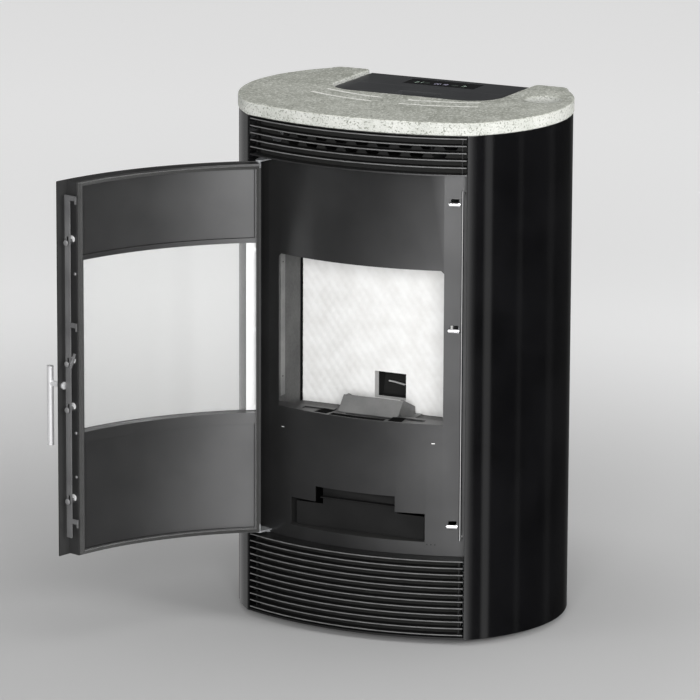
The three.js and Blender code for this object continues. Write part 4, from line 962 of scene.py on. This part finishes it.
# %% Painted shade on the hearth ledge and in the corner
# A flat black with almost no shine, used for painted shade.
painted_shade_black, tree, shader = start_finish("painted_shade_black", Specular_IOR_Level=0.03)
colour_range(tree, shader, noise(tree, 600.0), 0.002, 0.006)
gloss_range(tree, shader, noise(tree, 900.0), 0.85, 1.0)
LEDGE_TOP = float(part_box("hearth_ledge")[1][2])
PATCH_HALF_THICK = 0.0003                                   # thickness above the ledge, metres
PATCHES = ((-0.068, 0.068, 0.0460, 0.0635),      # from x, to x, from depth, to depth
           (-0.110, -0.077, 0.0500, 0.0860), (0.077, 0.110, 0.0500, 0.0860))
shade_patches = [band(x0, x1, d0, d1, LEDGE_TOP - PATCH_HALF_THICK, LEDGE_TOP + PATCH_HALF_THICK, 8)
          for x0, x1, d0, d1 in PATCHES]
piece("ledge_soot", *merged(shade_patches), painted_shade_black, "root", "black_steel")
# Painted shade: a thin black strip in the corner.
CORNER_X, CORNER_Z = (-0.2058, -0.2054), (0.4275, 0.785)
corner_y = BOARD_LOW[1] - 0.011, BOARD_LOW[1] - 0.0005       # just in front of the board
piece("corner_soot", *block(*CORNER_X, *corner_y, *CORNER_Z), painted_shade_black, "root",
      "black_steel")
print("soot patches:", len(shade_patches), "on a ledge", round(LEDGE_TOP, 4), "m up")

# %% [markdown]
# Behind the lower grille a black sheet makes the plinth dark between the slats: painted
# shade. It follows the bow like the slats do, a little further in.

# %% Black sheet behind the lower grille: painted shade
GRILLE_LOW, GRILLE_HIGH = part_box("lower_grille")
SHEET_HALF, SHEET_DEPTH = 0.244, (0.0262, 0.0272)
sheet_low, sheet_high = float(GRILLE_LOW[2]) + 0.001, float(GRILLE_HIGH[2]) - 0.003
piece("dust_sheet", *band(-SHEET_HALF, SHEET_HALF, *SHEET_DEPTH, sheet_low, sheet_high, 24),
      soot_and_painted_shade, "root", "black_steel")
print("dust sheet to z %.3f" % sheet_high)

# %% [markdown]
# The latch channel of the door
# -----------------------------
# Four pins guide the lock bar. Each has a dull button on its outer end and a bright washer
# where it leaves the door's box. At the second pin from the top sits the bar's spring.
# Buttons, washers and screws are turned profiles on an axis across the channel. They are
# placed on the shut door and then swung open with it.

# %% Guide pin buttons, washers and box screws
LATCH_X = 0.208                  # latch wall of the door's box
ON_WALL, ON_PIN_END = LATCH_X + 0.0001, LATCH_X + 0.0162
BUTTON_DEPTH, WASHER_DEPTH, SCREW_DEPTH = 0.015, 0.0165, 0.024
WASHER_RISE = 0.006              # the washers sit above the buttons by this much
PIN_HEIGHTS = (0.839, 0.585, 0.488, 0.294)
SCREW_HEIGHTS = (0.773, 0.438, 0.345)


def across(points_faces, skin_x, depth, z):
    """Carry a shape drawn round the X axis to a place on the open door.

    The shape's X axis goes along the bow, its Y axis inwards and its Z axis up.
    """
    points, faces = points_faces
    a = math.asin(skin_x / BOW_R)
    x0, y0 = bow(skin_x, depth)
    p = np.asarray(points, float)
    moved = np.stack([x0 + p[:, 0] * math.cos(a) - p[:, 1] * math.sin(a),
                      y0 + p[:, 0] * math.sin(a) + p[:, 1] * math.cos(a),
                      z + p[:, 2]], -1)
    return opened(moved), faces


BUTTON = [[0.0004, 0.0], [0.0060, 0.0], [0.0062, 0.0006], [0.0058, 0.0016], [0.0044, 0.0024],
          [0.0022, 0.0028], [0.0004, 0.0029]]
WASHER = [[0.0032, 0.0], [0.0072, 0.0], [0.0074, 0.0003], [0.0074, 0.0009],
          [0.0072, 0.0012], [0.0032, 0.0012]]
DOME = [[0.0003, 0.0], [0.0034, 0.0], [0.0034, 0.0006], [0.0028, 0.0015], [0.0014, 0.0021],
        [0.0003, 0.0022]]


def fitting(profile, skin_x, depth, z, n=24):
    """A profile turned about the line along the bow, in its place on the open door."""
    return across(turned(profile, (0, 0, 0), (1, 0, 0), n), skin_x, depth, z)


for n, z in enumerate(PIN_HEIGHTS, 1):
    piece("guide_button_%d" % n, *fitting(BUTTON, ON_PIN_END, BUTTON_DEPTH, z), dull_zinc,
          "door", "zinc")
    piece("guide_washer_%d" % n, *fitting(WASHER, ON_WALL, WASHER_DEPTH, z + WASHER_RISE),
          bright_strip, "door", "zinc")
screws = [fitting(DOME, ON_WALL, SCREW_DEPTH, z, 12) for z in SCREW_HEIGHTS]
piece("box_screws", *merged(screws), dull_zinc, "door", "zinc")
print(len(PIN_HEIGHTS), "guide pins and", len(screws), "screws")


# %% Spring and its lever at the second pin
STEPS = 12                       # points in each turn of the spring
SPRING_DEPTH, LEVER_DEPTH, SPRING_Z = 0.0255, 0.0262, 0.583


def coil(start, end, radius, turns):
    """Points of a helix from start to end, which winds out and in over its end turns.

    A point is start + s * axis + radius * ease * (cos, sin)(2 pi turns s) on two
    directions across the axis, for s from 0 to 1; ease rises from 0 to 1 in one turn.
    """
    start, end = np.array(start, float), np.array(end, float)
    axis = end - start
    k = axis / np.linalg.norm(axis)
    side = np.cross(k, [0.0, 1.0, 0.0])
    side /= np.linalg.norm(side)
    other = np.cross(k, side)
    s = np.linspace(0, 1, turns * STEPS + 1)[:, None]
    t = 2 * np.pi * turns * s
    ease = np.minimum(1, np.minimum(s, 1 - s) * turns)
    return start + s * axis + radius * ease * (np.cos(t) * side + np.sin(t) * other)


spring_path = coil((0.0105, 0, 0.0), (-0.0045, 0, 0.022), 0.0026, 9)
spring = across(sweep(spring_path, disc(0.00055, 6)), LATCH_X + 0.0075, SPRING_DEPTH,
                SPRING_Z)
piece("bar_spring", *spring, dull_zinc, "door", "zinc")
lever_path = [(0.014, 0, -0.004), (0.010, 0, 0.004), (0.004, 0, 0.016), (0.001, 0, 0.024)]
lever = across(sweep(lever_path, flat_section(0.0008, 0.0035)), LATCH_X + 0.0035, LEVER_DEPTH,
               SPRING_Z)
piece("bar_lever", *lever, bar_metal, "door", "zinc")
print("spring of 9 turns")

# %% [markdown]
# The console's display
# ---------------------
# Under the black glass the display shows a clock, two small figures and two key marks. Each
# figure is built from the seven bars of a plain segment display, so a number is only a list
# of bars to light. They stand at most a tenth of a millimetre proud, so that they show.

# %% Lit segments
lit_green = moulded("lit_green", (0.42, 0.55, 0.46), (0.50, 0.64, 0.54), (0.30, 0.40))
lit_lilac = moulded("lit_lilac", (0.40, 0.38, 0.52), (0.48, 0.46, 0.60), (0.30, 0.40))
dim_green = moulded("dim_green", (0.045, 0.060, 0.050), (0.065, 0.080, 0.070), (0.30, 0.40))
GLASS_LOW, GLASS_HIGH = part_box("display_glass")
BARS = {"a": (0, 2, 1, 2), "b": (1, 1, 1, 2), "c": (1, 0, 1, 1), "d": (0, 0, 1, 0),
        "e": (0, 0, 0, 1), "f": (0, 1, 0, 2), "g": (0, 1, 1, 1)}
DIGITS = {"0": "abcdef", "1": "bc", "2": "abged", "3": "abgcd", "8": "abcdefg"}
GLASS_FACE = float(GLASS_HIGH[2])
READ_Y = float(GLASS_LOW[1]) + 0.016             # lower edge of the figures
BAR_HALF, PROUD, PITCH = 0.0006, 0.0001, 1.55    # PITCH is in widths of a figure


def figures(text, x, y, wide):
    """Figures side by side; each lit bar runs between two corners of a 1 by 2 grid."""
    shapes = []
    for n, figure in enumerate(text):
        left = x + PITCH * wide * n
        for i0, j0, i1, j1 in (BARS[name] for name in DIGITS[figure]):
            shapes.append(block(left + wide * i0 - BAR_HALF, left + wide * i1 + BAR_HALF,
                                y + wide * j0 - BAR_HALF, y + wide * j1 + BAR_HALF,
                                GLASS_FACE - PROUD, GLASS_FACE + PROUD))
    return merged(shapes)


piece("clock_figures", *figures("2018", -0.016, READ_Y, 0.0052), lit_lilac, "root", "display")
piece("warmth_figures", *figures("21", -0.061, READ_Y, 0.0058), lit_green, "root", "display")
piece("power_figure", *figures("3", 0.049, READ_Y, 0.0058), lit_green, "root", "display")
key_marks = [block(x, x + 0.014, READ_Y + 0.002, READ_Y + 0.009, GLASS_FACE - PROUD,
                   GLASS_FACE + PROUD / 2) for x in (-0.042, 0.024)]
piece("key_marks", *merged(key_marks), dim_green, "root", "display")
print("display reads 2018, 21 and 3")

# %% [markdown]
# The back
# --------
# The back panel is a plain zinc sheet held by domed screws. A pressed hood stands over each
# air slot, and the mains inlet has its three flat pins and a rocker switch.

# %% Screws of the back panel
BACK_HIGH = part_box("back_panel")[1]
BACK_FACE, SCREW_X = float(BACK_HIGH[1]), float(BACK_HIGH[0]) - 0.012
BACK_DOME = [[r * 1.15, h] for r, h in DOME]     # a little wider than the door's screws
screw_places = [(x, z) for x in (-SCREW_X, SCREW_X) for z in np.linspace(0.045, 1.020, 6)]
screw_places += [(x, z) for x in (-0.09, 0.09) for z in (0.022, 1.045)]
back_screws = [turned(BACK_DOME, (x, BACK_FACE, z), (0, 1, 0), 14) for x, z in screw_places]
piece("back_screws", *merged(back_screws), bar_metal, "root", "zinc")
print(len(back_screws), "screws")

# %% Hoods: an arc carried along x, which a taper pinches at both ends
HOOD_TOP, HOOD_STEP, HOOD_HALF = 0.8995, 0.022, 0.0465
HOOD_OUT, HOOD_TALL, HOOD_INNER = 0.0046, 0.0058, 0.82       # the inner arc is smaller
arc = np.linspace(0, math.pi * 0.62, 8)
outer = np.stack([HOOD_OUT * np.sin(arc), HOOD_TALL * np.cos(arc)], -1)
hood_section = np.concatenate([outer, outer[::-1] * HOOD_INNER])
hoods = []
for x in (-0.060, 0.060):
    for n in range(5):
        along = np.linspace(x - HOOD_HALF, x + HOOD_HALF, 13)[:, None]
        taper = np.sqrt(np.clip(1 - ((along - x) / (HOOD_HALF * 1.002)) ** 8, 0.02, 1))
        y = BACK_FACE + 0.0001 + hood_section[None, :, 0] * taper
        z = HOOD_TOP - HOOD_STEP * n + hood_section[None, :, 1] * taper
        hoods.append(capped(np.stack([np.broadcast_to(along, y.shape), y, z], -1)))
piece("air_hoods", *merged(hoods), zinc, "root", "zinc", 50)
print(len(hoods), "hoods")

# %% Mains inlet: flat pins, and a rocker whose face dips as a power curve
INLET_X, PINS_Z, ROCKER_Z = -0.190, 0.0545, 0.0825
ROCKER_HALF, ROCKER_TALL = 0.0100, 0.0066
pins = [block(INLET_X + dx - 0.001, INLET_X + dx + 0.001, BACK_FACE - 0.0135,
              BACK_FACE - 0.001, PINS_Z + dz, PINS_Z + dz + 0.004)
        for dx, dz in ((-0.007, 0.0), (0.0, 0.0035), (0.007, 0.0))]
piece("inlet_pins", *merged(pins), bright_strip, "root", "zinc")
up = np.linspace(-1, 1, 9)
rocker_section = np.concatenate([
    np.stack([0.0030 + 0.0026 * np.abs(up) ** 1.5, ROCKER_TALL * up], -1),
    [[-0.002, ROCKER_TALL], [-0.002, -ROCKER_TALL]]])
rocker = np.stack([np.column_stack([np.full(len(rocker_section), INLET_X + dx),
                                    BACK_FACE + rocker_section[:, 0] - 0.001,
                                    ROCKER_Z + rocker_section[:, 1]])
                   for dx in (-ROCKER_HALF, ROCKER_HALF)])
piece("mains_rocker", *capped(rocker), black_plastic, "root", "plastic", 40)
print("inlet and rocker")
